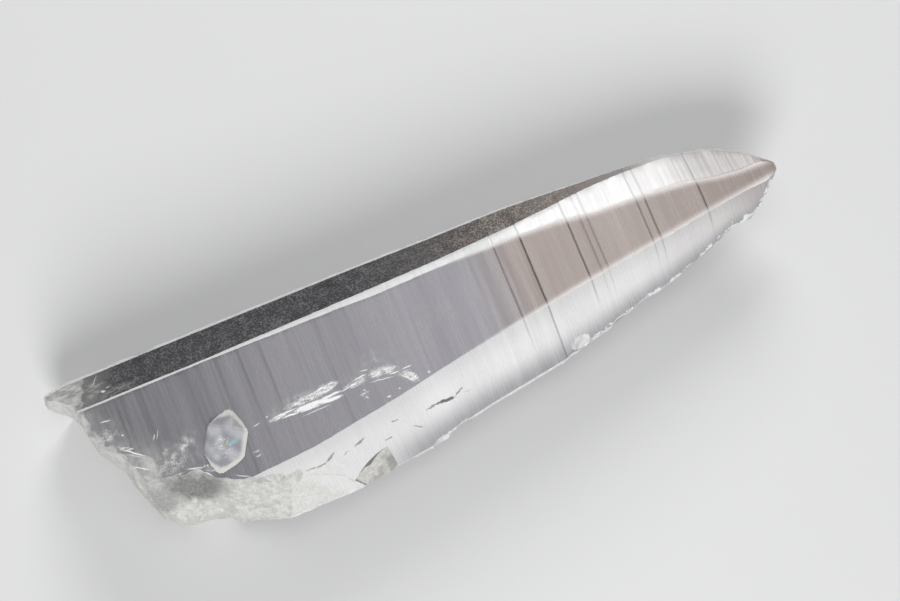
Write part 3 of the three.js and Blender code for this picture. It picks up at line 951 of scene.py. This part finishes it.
# Painted highlight along the broad face's long edges, which are worn soft, more and more towards the tip
def paintedEdgeHighlight(tree, x, y, form):
    near = minus(tree, y, edgeInNodes(tree, x, "near upper", (1, 0)))
    far = minus(tree, edgeInNodes(tree, x, "top", (1, 0)), y)
    width = fromTo(tree, x, *form["width"])
    fromEdge = calculate(tree, "DIVIDE", calculate(tree, "MINIMUM", near, far), width)
    return times(tree, fromTo(tree, fromEdge, *form["fade"]), fromTo(tree, x, *form["along"]))


# The nicked band along the near edge: where it is, and its colour of light and dark flakes
def nickedBand(tree, x, v, facePlace, look):
    form = look["nicked"]
    fromEdge = minus(tree, v, edgeInNodes(tree, x, "near lower", look["across"]))
    ragged = plus(tree, fromEdge, wander(tree, facePlace, *form["ragged"]))
    band = fromTo(tree, ragged, *form["width"])
    before = times(tree, fromTo(tree, x, *form["from"]), fromTo(tree, x, *form["cleanFrom"]))
    spans = larger(tree, before, fromTo(tree, x, *form["cleanTo"]))
    shifted = jittered(tree, facePlace, *form["flakeJitter"])
    flakes = addNode(tree, "ShaderNodeTexVoronoi", {"Vector": shifted, "Scale": form["flakesPerMm"]})
    tone = addNode(tree, "ShaderNodeSeparateColor", {0: flakes.outputs["Color"]}).outputs[0]
    color = blendColor(tree, fromTo(tree, tone, *form["flakeTone"]), form["dark"], form["light"])
    return times(tree, band, spans), color


def specks(tree, x, place, form):
    cloud = times(tree, lineNoise(tree, place, *form["cloud"]), form["cloudShare"])
    mask = fromTo(tree, plus(tree, lineNoise(tree, place, *form["grain"]), cloud), *form["level"])
    # past the middle the grains take a painted warm reflection
    color = blendColor(tree, fromTo(tree, x, *form["warm"]), form["color"], form["paintedWarmReflection"])
    return times(tree, mask, fromTo(tree, x, *form["fade"])), color


# the painted shade in the growth-line grooves: a dark line along each
growthLineShade = {
    "color": (0.09, 0.075, 0.075),
    "wander": (0.3, 3.0, 0.12),
    "edge": (0.04, 0.15),
}


def growthLineShadeMask(tree, x, place):
    here = plus(tree, x, wander(tree, place, *growthLineShade["wander"]))
    lines = []
    for line, strength in crystalForm["growthLines"]:
        away = calculate(tree, "ABSOLUTE", minus(tree, here, line))
        lines.append(fromTo(tree, away, *growthLineShade["edge"], strength, 0.0))
    return largestOf(tree, lines)


# How much of the growth lines' painted shade is left on their way down the near upper face
def growthFade(tree, x, share, form):
    line = crystalForm["growthLines"][form["fullLine"]][0]
    beside = fromTo(tree, calculate(tree, "ABSOLUTE", minus(tree, x, line)), *form["beside"])
    return larger(tree, fromTo(tree, share, *form["up"]), beside)


milkLook = {
    "color": (0.66, 0.66, 0.63),
    "thinColor": (0.42, 0.42, 0.405),
    "mottleNoise": (0.7, 6.0),
    "mottle": (0.36, 0.6),
    # how far the milk of the root reaches: place across the crystal, station along it
    "border": [(-8, 11.0), (-4, 11.1), (-3.2, 11.4), (-1.1, 11.0), (0.7, 7.8), (2.3, 6.4), (4.4, 5.5),
               (6.6, 5.3)],
    "halfWidth": 15,
    "cloudNoise": (0.8, 5.0),
    "wander": 2.2,
    "band": (-0.3, 0.4, 1.0, 0.0),
    "cloudShare": (0.35, 0.6, 0.6, 0.9),
    "acrossShare": (0.0, 3.0, 0.85, 1.1),
    "haze": (0.0, 5.0, 0.3, 0.0),
}


# How milky a face is from the broken root inwards
def rootMilk(tree, x, y, place):
    milk = milkLook
    cloud = evenNoise(tree, place, *milk["cloudNoise"])
    across = plus(tree, y, milk["halfWidth"])
    stops = [(side + milk["halfWidth"], station) for side, station in milk["border"]]
    border = lineInNodes(tree, across, stops)
    beyond = plus(tree, minus(tree, x, border), times(tree, minus(tree, cloud, 0.5), milk["wander"]))
    thinner = times(tree, fromTo(tree, cloud, *milk["cloudShare"]), fromTo(tree, y, *milk["acrossShare"]))
    band = times(tree, fromTo(tree, beyond, *milk["band"]), thinner)
    return larger(tree, band, fromTo(tree, beyond, *milk["haze"]), clamp=True)


def milkColor(tree, place):
    mottle = fromTo(tree, evenNoise(tree, place, *milkLook["mottleNoise"]), *milkLook["mottle"])
    return blendColor(tree, mottle, milkLook["thinColor"], milkLook["color"])


# A coordinate pair on a face: along the crystal and across the face
def placeOnFace(tree, x, y, z, across):
    v = plus(tree, times(tree, y, across[0]), times(tree, z, across[1]))
    return v, joined(tree, x, v)


# The kinds of mark, in the order in which they are laid on. ragged: how far noise moves an outline, and
# that noise's cells per mm. core: the share of a mark's size that is at full strength. noise, cloud:
# what a mark is clouded with, and the levels between which that shows.
markKinds = {
    "cream": {"color": (0.73, 0.73, 0.70), "ragged": (1.2, 1.2), "core": 0.7, "noise": (1.4, 5.0)},
    "haze": {"color": (0.66, 0.66, 0.63), "ragged": (3.0, 0.4), "core": 0.0, "noise": (1.2, 6.0),
             "cloud": (0.38, 0.64)},
    "flakes": {"color": (0.95, 0.95, 0.94), "core": 0.3, "turn": -8, "drawnOut": (1.1, 4.6, 1),
               "flakeNoise": (1.0, 6.0), "flakeShare": 0.45, "splinterNoise": (5.0, 2.5),
               "splinterShare": 0.55, "patchShare": 0.5, "level": (0.9, 0.99)},
    "pale": {"color": (0.95, 0.95, 0.94), "ragged": (0.25, 1.5), "core": 0.4},
    # dark: painted shade in slits and cracks
    "dark": {"color": (0.15, 0.147, 0.143), "ragged": (0.6, 2.6), "core": 0.6},
    "grey": {"color": (0.24, 0.24, 0.236), "ragged": (2.2, 1.1), "core": 0.3,
             "cloud": (0.38, 0.6, 0.7, 1.0)},
    # painted rainbow glints
    "rainbow": {"ragged": (0.5, 1.6), "core": 0.1},
}

# Marks on the faces: their middle along and across the face, half length, half width, turn in
# degrees, strength
faceMarks = {
    "broadFace": {
        "haze": [
            ((12.8, -2.4), 5.4, 3.0, 0, 0.75), ((7.5, 2.6), 2.4, 2.8, 0, 0.5),
            ((15.0, -1.4), 2.4, 1.9, 10, 0.85), ((12.0, -1.3), 1.6, 0.6, 15, 1.0),
            ((8.4, 1.2), 1.9, 0.35, -22, 0.8), ((9.3, -3.0), 2.2, 1.2, -35, 0.9),
            ((30.0, -1.8), 8.0, 1.5, 4, 0.5), ((39.0, -2.3), 4.8, 1.5, -4, 0.9),
            # the faint wide patch at station 48 is a painted soft sheen
            ((42.2, -3.9), 2.0, 1.1, -50, 0.75), ((48.0, 1.5), 7.0, 3.0, 20, 0.14),
            ((39.2, -0.8), 3.6, 1.6, 0, 0.4),
        ],
        "flakes": [
            ((26.4, -2.6), 2.6, 0.6, 4, 0.92), ((30.6, -2.8), 4.3, 0.5, -1, 1.1),
            ((30.4, -1.9), 6.2, 1.0, 2, 0.88), ((32.6, -1.6), 3.6, 1.1, 6, 0.92),
            ((39.6, -2.4), 3.8, 0.95, -4, 0.88), ((42.6, -4.1), 2.2, 0.9, -50, 0.9),
            ((36.2, -2.4), 3.0, 0.9, 5, 0.88), ((36.8, -4.0), 1.4, 0.8, 0, 0.8),
            ((12.6, -3.2), 3.8, 2.0, 0, 0.76), ((15.2, -1.3), 2.2, 1.2, 20, 0.78),
            ((16.6, -5.0), 2.6, 0.9, -30, 0.82), ((22.3, -5.4), 1.2, 0.35, 5, 0.84),
            ((6.9, 3.2), 1.9, 1.8, 20, 0.76), ((8.4, 0.9), 1.8, 0.5, -22, 0.84),
        ],
        "pale": [
            # the bright core of the fracture
            ((27.3, -2.45), 1.9, 0.13, 0, 1.0), ((30.2, -2.6), 2.1, 0.2, 0, 1.0),
            ((33.0, -2.6), 1.9, 0.2, 2, 1.0), ((27.8, -2.95), 1.5, 0.15, -3, 1.0),
            ((30.2, -3.1), 1.8, 0.15, -2, 1.0), ((32.9, -3.1), 1.9, 0.3, -2, 1.0),
            ((30.8, -3.6), 2.4, 0.06, 1, 0.9), ((29.0, -1.9), 1.4, 0.06, 8, 0.8),
            ((31.6, -1.5), 1.6, 0.07, 12, 0.8), ((32.9, -1.9), 1.2, 0.09, 10, 0.9),
            ((23.7, -2.45), 0.6, 0.08, 7, 0.9), ((25.1, -2.05), 0.16, 0.14, 0, 1.0),
            # its wispy arc
            ((34.9, -2.6), 0.8, 0.1, 10, 0.9), ((35.9, -2.5), 0.65, 0.12, 0, 1.0),
            ((37.0, -1.95), 1.0, 0.12, 4, 1.0), ((37.7, -1.4), 0.7, 0.07, -7, 0.8),
            ((39.3, -3.2), 2.0, 0.07, -8, 0.9), ((40.9, -3.0), 0.8, 0.1, -3, 1.0),
            ((42.5, -3.0), 0.8, 0.1, 3, 1.0), ((42.1, -4.2), 1.4, 0.09, -49, 1.0),
            ((42.8, -4.2), 1.0, 0.08, -54, 0.9), ((39.2, -2.4), 0.4, 0.1, 20, 0.9),
            ((36.85, -3.54), 0.25, 0.1, 0, 0.8), ((36.9, -4.5), 0.3, 0.1, -50, 0.8),
            ((39.3, -5.4), 0.35, 0.12, 0, 0.9), ((40.8, -5.0), 0.15, 0.12, 0, 0.9),
            ((44.7, -4.5), 0.2, 0.16, 0, 0.9),
            # cracks at the root
            ((9.1, 0.1), 2.1, 0.1, -37, 1.0), ((9.3, -0.4), 1.5, 0.06, -36, 0.6),
            ((9.3, -1.95), 1.5, 0.09, -34, 0.9), ((8.0, 0.0), 0.6, 0.06, -67, 0.7),
            ((12.6, -4.3), 1.3, 0.1, 2, 0.9), ((15.0, -4.35), 1.2, 0.1, -14, 1.0),
            ((16.4, -5.7), 0.95, 0.09, -48, 0.9), ((20.0, -7.4), 1.3, 0.07, -30, 0.8),
            ((7.3, 4.87), 0.85, 0.09, -5, 1.0), ((8.6, 2.57), 0.17, 0.15, 0, 1.0),
            ((11.96, 0.92), 0.55, 0.08, 63, 0.8), ((12.4, 1.0), 0.9, 0.06, 63, 0.8),
            ((22.6, -5.9), 0.5, 0.09, 4, 0.8),
        ],
    },
    "nearUpperFace": {
        # the slits and cracks, drawn dark as painted shade
        "dark": [
            ((45.2, 5.0), 1.5, 0.36, -16, 1.0), ((44.2, 5.2), 1.3, 0.2, -16, 0.9),
            ((47.0, 5.2), 0.7, 0.2, 30, 0.8), ((43.1, 5.2), 0.7, 0.14, -4, 0.8),
            ((38.7, 6.4), 0.6, 0.13, -20, 0.8), ((41.0, 3.2), 1.1, 0.11, -48, 0.75),
            ((37.2, 3.9), 0.6, 0.13, -6, 0.8), ((33.9, 6.0), 1.0, 0.22, 24, 0.75),
            ((30.1, 6.1), 1.0, 0.24, 38, 0.75), ((28.7, 5.5), 0.8, 0.26, 6, 0.7),
            ((27.4, 5.7), 0.8, 0.14, -12, 0.7), ((48.0, 4.4), 0.4, 0.08, -16, 0.7),
            ((31.9, 5.4), 0.5, 0.1, 20, 0.6), ((23.6, 7.4), 0.9, 0.12, -8, 0.5),
            ((61.3, 0.9), 0.6, 0.2, 25, 0.5), ((62.0, 0.5), 0.5, 0.16, 10, 0.6),
            # the crack that runs on from the broken corner to the leaf-shaped scar, drawn as painted shade
            ((25.2, 6.2), 1.9, 0.06, -35, 0.35), ((28.2, 4.0), 1.7, 0.06, -39, 0.35),
            ((30.2, 2.1), 1.1, 0.06, -52, 0.4), ((31.1, 0.2), 1.1, 0.06, -72, 0.4),
        ],
        "haze": [((26.0, 4.6), 12.0, 3.4, -4, 0.5)],
        "cream": [((23.6, 0.4), 9.0, 4.9, -43.8, 0.95)],
        "flakes": [((25.5, 0.6), 3.2, 1.2, -8, 0.8), ((29.0, 0.0), 2.6, 1.0, 0, 0.76)],
    },
    "farUpperFace": {
        "haze": [((6.8, -4.0), 1.4, 4.5, 0, 0.6), ((9.5, -7.5), 3.0, 2.4, 0, 0.4)],
        "pale": [((7.9, -6.0), 0.35, 0.6, 20, 0.9), ((8.5, -5.2), 0.4, 0.25, 0, 0.7),
                 ((6.8, -1.0), 0.1, 2.2, -8, 0.5)],
    },
}


def markMask(tree, facePlace, marks, core):
    masks = []
    for (u, v), halfLength, halfWidth, turn, strength in marks:
        mapped = addNode(tree, "ShaderNodeMapping", {
            "Vector": facePlace, "Location": (u, v, 0), "Rotation": (0, 0, math.radians(turn)),
            "Scale": (halfLength, halfWidth, 1)}, vector_type="TEXTURE").outputs[0]
        away = onVectors(tree, "LENGTH", mapped, output="Value")
        masks.append(fromTo(tree, away, core, 1.0, strength, 0.0))
    return largestOf(tree, masks)


def raggedMask(tree, facePlace, kind, marks):
    form = markKinds[kind]
    return markMask(tree, jittered(tree, facePlace, *form["ragged"]), marks, form["core"])


# Bright flakes of an inner fracture, drawn out along the crystal, inside its patches
def flakeMask(tree, facePlace, patches):
    form = markKinds["flakes"]
    drawnOut = addNode(tree, "ShaderNodeMapping", {
        "Vector": facePlace, "Rotation": (0, 0, math.radians(form["turn"])),
        "Scale": form["drawnOut"]}).outputs[0]
    flakes = times(tree, evenNoise(tree, drawnOut, *form["flakeNoise"]), form["flakeShare"])
    splinters = times(tree, evenNoise(tree, drawnOut, *form["splinterNoise"]), form["splinterShare"])
    patch = times(tree, markMask(tree, facePlace, patches, form["core"]), form["patchShare"])
    return fromTo(tree, plus(tree, plus(tree, flakes, splinters), patch), *form["level"])


# The mask and colour of one kind of mark on a face
def markLayer(tree, place, facePlace, kind, marks):
    form = markKinds[kind]
    color = form["color"]
    if kind == "flakes":
        return flakeMask(tree, facePlace, marks), color
    mask = raggedMask(tree, facePlace, kind, marks)
    if kind == "haze":
        cloud = evenNoise(tree, facePlace, *form["noise"])
        mask = times(tree, fromTo(tree, cloud, *form["cloud"]), mask)
    if kind == "cream":
        color = mottledColor(tree, place, evenNoise(tree, place, *form["noise"]), color)
    return mask, color


def faceLayers(tree, x, y, place, facePlace, look, marks):
    milk = times(tree, rootMilk(tree, x, y, place), look["milky"], clamp=True)
    layers = [(milk, milkColor(tree, place))]
    if "paintedEdgeHighlight" in look:
        layers.append((paintedEdgeHighlight(tree, x, y, look["paintedEdgeHighlight"]), look["paintedEdgeHighlight"]["color"]))
    if "specks" in look:
        mask, color = specks(tree, x, place, look["specks"])
        layers.append((times(tree, mask, minus(tree, 1.0, milk)), color))
    for kind in markKinds:
        if kind in marks:
            layers.append(markLayer(tree, place, facePlace, kind, marks[kind]))
    return layers


def makeFaceMaterial(name, look, marks):
    material, tree, shader, place = startMaterial(name)
    x, y, z = splitPlace(tree, place)
    v, facePlace = placeOnFace(tree, x, y, z, look["across"])
    fineLines = lineNoise(tree, place, *quartzLook["fineLines"])
    broadLines = lineNoise(tree, place, *quartzLook["broadLines"])
    share = shareOfFace(tree, x, v, look["across"]) if "shade" in look else None
    color = striatedColor(tree, x, share, look, fineLines, broadLines)
    if "nicked" in look:
        nicks, nickColor = nickedBand(tree, x, v, facePlace, look)
        color = blendColor(tree, nicks, color, nickColor)
    # painted shade along the growth lines
    growth = times(tree, growthLineShadeMask(tree, x, place), look["growth"])
    if "growthFade" in look:
        growth = times(tree, growth, growthFade(tree, x, share, look["growthFade"]))
    color = blendColor(tree, growth, color, growthLineShade["color"])
    bright = 0.0
    for strength, layerColor in faceLayers(tree, x, y, place, facePlace, look, marks):
        color = blendColor(tree, strength, color, layerColor)
        bright = larger(tree, bright, strength)
    clear = fromTo(tree, bright, 0.0, 1.0, 1 - look["veil"], quartzLook["clearUnderMarks"])
    fineShare = quartzLook["fineShare"]
    stria = plus(tree, times(tree, fineLines, fineShare), times(tree, broadLines, 1 - fineShare))
    smoothest, roughest = (look["roughness"] * swing for swing in quartzLook["roughnessSwing"])
    roughness = fromTo(tree, stria, *quartzLook["lineLevels"], smoothest, roughest)
    shader.inputs["Specular IOR Level"].default_value = look.get("shine", 0.5)
    finishShader(tree, shader, color, clear, roughness, stria, look["bump"], quartzLook["bumpDepth"])
    return material


# A broken surface's mottling: soft clouds, with grains in them that are lighter or darker
mottling = {
    "dark": 0.87,
    "light": 1.2,
    "brightest": 0.96,
    "grainNoise": (3.6, 2.0),
    "cloud": (0.35, 0.62),
    "lightGrain": (0.54, 0.66, 0.0, 0.7),
    "darkGrain": (0.32, 0.44, 0.6, 0.0),
}


def mottledColor(tree, place, cloud, color):
    grain = evenNoise(tree, place, *mottling["grainNoise"])
    dark, light = (tuple(min(mottling["brightest"], mottling[tone] * c) for c in color)
                   for tone in ("dark", "light"))
    toned = blendColor(tree, fromTo(tree, cloud, *mottling["cloud"]), dark, color)
    toned = blendColor(tree, fromTo(tree, grain, *mottling["lightGrain"]), toned, light)
    return blendColor(tree, fromTo(tree, grain, *mottling["darkGrain"]), toned, dark)


# The broken and worn surfaces. grey: darker patches, as the marks on the faces are given
brokenLooks = {
    # the frosted worn edges: their white is partly frost and partly painted highlight
    "wornEdgeAndHighlight": {"color": (0.94, 0.94, 0.93), "veil": 0.85, "roughness": 0.4, "perMm": 2.5},
    "brokenQuartz": {"color": (0.73, 0.73, 0.695), "veil": 0.9, "roughness": 0.35, "perMm": 1.4,
                     "grey": [((13.8, -5.8), 6.4, 2.1, -17, 0.88), ((9.8, -5.6), 3.0, 2.2, -20, 0.6),
                              ((21.5, -8.5), 1.6, 0.4, -15, 0.45), ((24.0, -9.2), 1.6, 0.4, -20, 0.3)]},
    "chippedQuartz": {"color": (0.86, 0.86, 0.85), "veil": 0.9, "roughness": 0.2, "perMm": 1.2},
    "clearChip": {"color": (0.60, 0.59, 0.63), "veil": 0.42, "roughness": 0.12, "perMm": 1.2},
    "leafFloor": {"color": (0.72, 0.705, 0.67), "veil": 0.9, "roughness": 0.2, "perMm": 2.2,
                  "grey": [((36.8, -11.6), 1.9, 1.8, 0, 0.62), ((34.3, -12.2), 1.9, 0.5, 10, 0.45)]},
    # the scar's steep wall, dark with painted shade
    "leafWallShade": {"color": (0.22, 0.21, 0.20), "veil": 0.75, "roughness": 0.15, "perMm": 1.2},
}
brokenSurface = {
    "cloudDetail": 5.0,
    "finer": 3,  # how much finer the grain is than the clouds
    "fineDetail": 4.0,
    "cloud": (0.35, 0.65),
    "thinVeil": 0.85,
    "fine": (0.3, 0.7),
    "roughnessSwing": (0.8, 1.3),
    "greyClear": 0.5,
    "bump": 0.06,
    "bumpDepth": 0.05,
}


def makeBrokenMaterial(name, look):
    material, tree, shader, place = startMaterial(name)
    form = brokenSurface
    cloud = evenNoise(tree, place, look["perMm"], form["cloudDetail"])
    fine = evenNoise(tree, place, look["perMm"] * form["finer"], form["fineDetail"])
    toned = mottledColor(tree, place, cloud, look["color"])
    clear = fromTo(tree, cloud, *form["cloud"], 1 - look["veil"] * form["thinVeil"], 1 - look["veil"])
    if "grey" in look:
        x, y, _ = splitPlace(tree, place)
        grey = raggedMask(tree, joined(tree, x, y), "grey", look["grey"])
        grey = times(tree, grey, fromTo(tree, fine, *markKinds["grey"]["cloud"]))
        toned = blendColor(tree, grey, toned, markKinds["grey"]["color"])
        clear = larger(tree, clear, times(tree, grey, form["greyClear"]))
    smoothest, roughest = (look["roughness"] * swing for swing in form["roughnessSwing"])
    roughness = fromTo(tree, fine, *form["fine"], smoothest, roughest)
    finishShader(tree, shader, toned, clear, roughness, fine, form["bump"], form["bumpDepth"])
    return material


seedlingLook = {
    "grey": (0.46, 0.46, 0.50),
    "light": (0.74, 0.74, 0.77),
    "rim": (0.82, 0.82, 0.77),
    "rimHeight": (15.38, 15.7, 0.9, 0.0),
    "cloudNoise": (1.1, 4.0),
    "cloudLift": 0.3,
    "facetsPerMm": 0.75,
    "facetTone": (0.1, 0.6),
    "clear": (0.0, 1.0, 0.3, 0.1),
    "roughness": (0.3, 0.7, 0.05, 0.22),
    "bump": 0.4,
    "bumpDepth": 0.05,
    "flakes": [((19.2, -3.4), 2.6, 3.2, 0, 0.76)],
    # painted rainbow glints inside the small crystal
    "rainbow": [
        (((20.5, -3.35), 0.7, 0.4, 10, 0.8), (0.42, 0.86, 0.86)),
        (((20.0, -3.9), 0.6, 0.35, 20, 0.6), (0.62, 0.56, 0.92)),
        (((19.85, -3.2), 0.4, 0.25, 60, 0.8), (0.72, 0.86, 0.42)),
    ],
}


def makeSeedlingMaterial(name, look):
    material, tree, shader, place = startMaterial(name)
    x, y, z = splitPlace(tree, place)
    flat = joined(tree, x, y)
    cloud = evenNoise(tree, place, *look["cloudNoise"])
    rim = fromTo(tree, plus(tree, z, times(tree, cloud, look["cloudLift"])), *look["rimHeight"])
    facets = addNode(tree, "ShaderNodeTexVoronoi", {"Vector": place, "Scale": look["facetsPerMm"]},
                     feature="SMOOTH_F1")
    facetTone = fromTo(tree, facets.outputs["Distance"], *look["facetTone"])
    flakes = flakeMask(tree, flat, look["flakes"])
    inner = blendColor(tree, facetTone, look["light"], look["grey"])
    inner = blendColor(tree, flakes, inner, markKinds["flakes"]["color"])
    # the painted rainbow glints
    for mark, color in look["rainbow"]:
        inner = blendColor(tree, raggedMask(tree, flat, "rainbow", [mark]), inner, color)
    toned = blendColor(tree, rim, inner, look["rim"])
    clear = times(tree, fromTo(tree, rim, *look["clear"]), minus(tree, 1.0, flakes))
    roughness = fromTo(tree, cloud, *look["roughness"])
    finishShader(tree, shader, toned, clear, roughness, cloud, look["bump"], look["bumpDepth"])
    return material


print("stage: finishes")
quartz = {name: makeFaceMaterial(name, look, faceMarks.get(name, {})) for name, look in finishes.items()}
broken = {name: makeBrokenMaterial(name, look) for name, look in brokenLooks.items()}
prismMaterials = {
    "top": quartz["broadFace"], "near upper": quartz["nearUpperFace"], "near lower": quartz["underFace"],
    "bottom": quartz["underFace"], "far lower": quartz["underFace"], "far upper": quartz["farUpperFace"],
    "bevel": quartz["bevelFace"], "edge": broken["wornEdgeAndHighlight"],
}

print("stage: prism")
crystal = makePrism(crystalForm, prismMaterials)
pressNicks(crystal, nickList(chipForm, crystalForm))
print("stage: breaks and chips")
for makeCutter in (makeCornerCutter, makeRootCutter):
    applyBoolean(crystal, makeCutter(breakForm, broken["brokenQuartz"]), "DIFFERENCE")
applyBoolean(crystal, makeLeafCutter(leafForm, broken["leafFloor"], broken["leafWallShade"]), "DIFFERENCE")
for kind, material in (("large", broken["chippedQuartz"]), ("below", broken["clearChip"])):
    for chip in chipForm[kind]:
        applyBoolean(crystal, makeChipCutter(chipForm, chip, material), "DIFFERENCE")
print("stage: small crystal")
seedlingQuartz = makeSeedlingMaterial("seedlingQuartz", seedlingLook)
applyBoolean(crystal, makeSeedling(seedlingForm, crystalForm, seedlingQuartz), "UNION")

# into the row's frame, in metres
points = readPoints(crystal)
points[:, 0] -= stationShift
points[:, 1] += (cadLow.y + cadHigh.y) / 2 / mm - (points[:, 1].min() + points[:, 1].max()) / 2
writePoints(crystal, points * mm)
crystal.data.polygons.foreach_set("use_smooth", [True] * len(crystal.data.polygons))
crystal.data.set_sharp_from_angle(angle=math.radians(crystalForm["sharpFrom"]))
crystal.name = "quartz_point"
print("triangles", sum(len(p.vertices) - 2 for p in crystal.data.polygons))
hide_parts("quartz_crystal")
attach(crystal, "root")

print("stage: studio")
studio = {
    "floorColor": (0.75, 0.75, 0.75),
    "floorRoughness": 0.7,
    "floorReach": 3,  # metres from its middle to its sides
    "worldColor": (0.85, 0.87, 0.90),
    "worldStrength": 0.17,
    # name: place in mm, size in mm, watts
    "lights": {
        "key": ((-120, -380, 330), 300, 2.0),
        "over": ((60, 60, 520), 340, 0.45),
        "rim": ((160, 380, 260), 220, 1.2),
    },
}


def makeFloor(settings):
    reach = settings["floorReach"]
    corners = [(-reach, -reach, 0), (reach, -reach, 0), (reach, reach, 0), (-reach, reach, 0)]
    material = bpy.data.materials.new("paleFloor")
    material.use_nodes = True
    shader = material.node_tree.nodes["Principled BSDF"]
    shader.inputs["Base Color"].default_value = (*settings["floorColor"], 1)
    shader.inputs["Roughness"].default_value = settings["floorRoughness"]
    floor = pieceFromFaces("floor", corners, [(0, 1, 2, 3)], [material])


def makeLights(settings):
    for name, (place, size, watts) in settings["lights"].items():
        light = bpy.data.lights.new(name, "AREA")
        light.shape = "DISK"
        light.size = size * mm
        light.energy = watts
        lamp = bpy.data.objects.new(name, light)
        lamp.location = Vector(place) * mm
        lamp.rotation_euler = (-lamp.location).to_track_quat("-Z", "Y").to_euler()
        bpy.context.scene.collection.objects.link(lamp)
    world = bpy.data.worlds.new("studio")
    world.use_nodes = True
    background = world.node_tree.nodes["Background"]
    background.inputs[0].default_value = (*settings["worldColor"], 1)
    background.inputs[1].default_value = settings["worldStrength"]
    bpy.context.scene.world = world


photoView = {
    "lean": 10,  # degrees from straight above towards the near side
    "turn": 22.7,  # the crystal's axis above the picture's level, in degrees
    "aim": (4.24, 3.45, 8.61),
    "distance": 300,
    "lens": 100,
    "sensor": 36,
    "nearClip": 10,
}


def makeCamera(settings):
    lean, turn = math.radians(settings["lean"]), math.radians(settings["turn"])
    towardsCamera = Vector((0, -math.sin(lean), math.cos(lean)))
    level = Vector((1, 0, 0))
    upright = Vector((0, math.cos(lean), math.sin(lean)))
    right = math.cos(turn) * level - math.sin(turn) * upright
    up = math.sin(turn) * level + math.cos(turn) * upright
    data = bpy.data.cameras.new("photoCamera")
    data.lens = settings["lens"]
    data.sensor_width = settings["sensor"]
    data.clip_start = settings["nearClip"] * mm
    camera = bpy.data.objects.new("photoCamera", data)
    camera.location = (Vector(settings["aim"]) + towardsCamera * settings["distance"]) * mm
    camera.rotation_mode = "QUATERNION"
    camera.rotation_quaternion = Matrix((right, up, towardsCamera)).transposed().to_quaternion()
    bpy.context.scene.collection.objects.link(camera)
    bpy.context.scene.camera = camera


makeFloor(studio)
makeLights(studio)
makeCamera(photoView)
bpy.context.scene.view_settings.view_transform = "Standard"
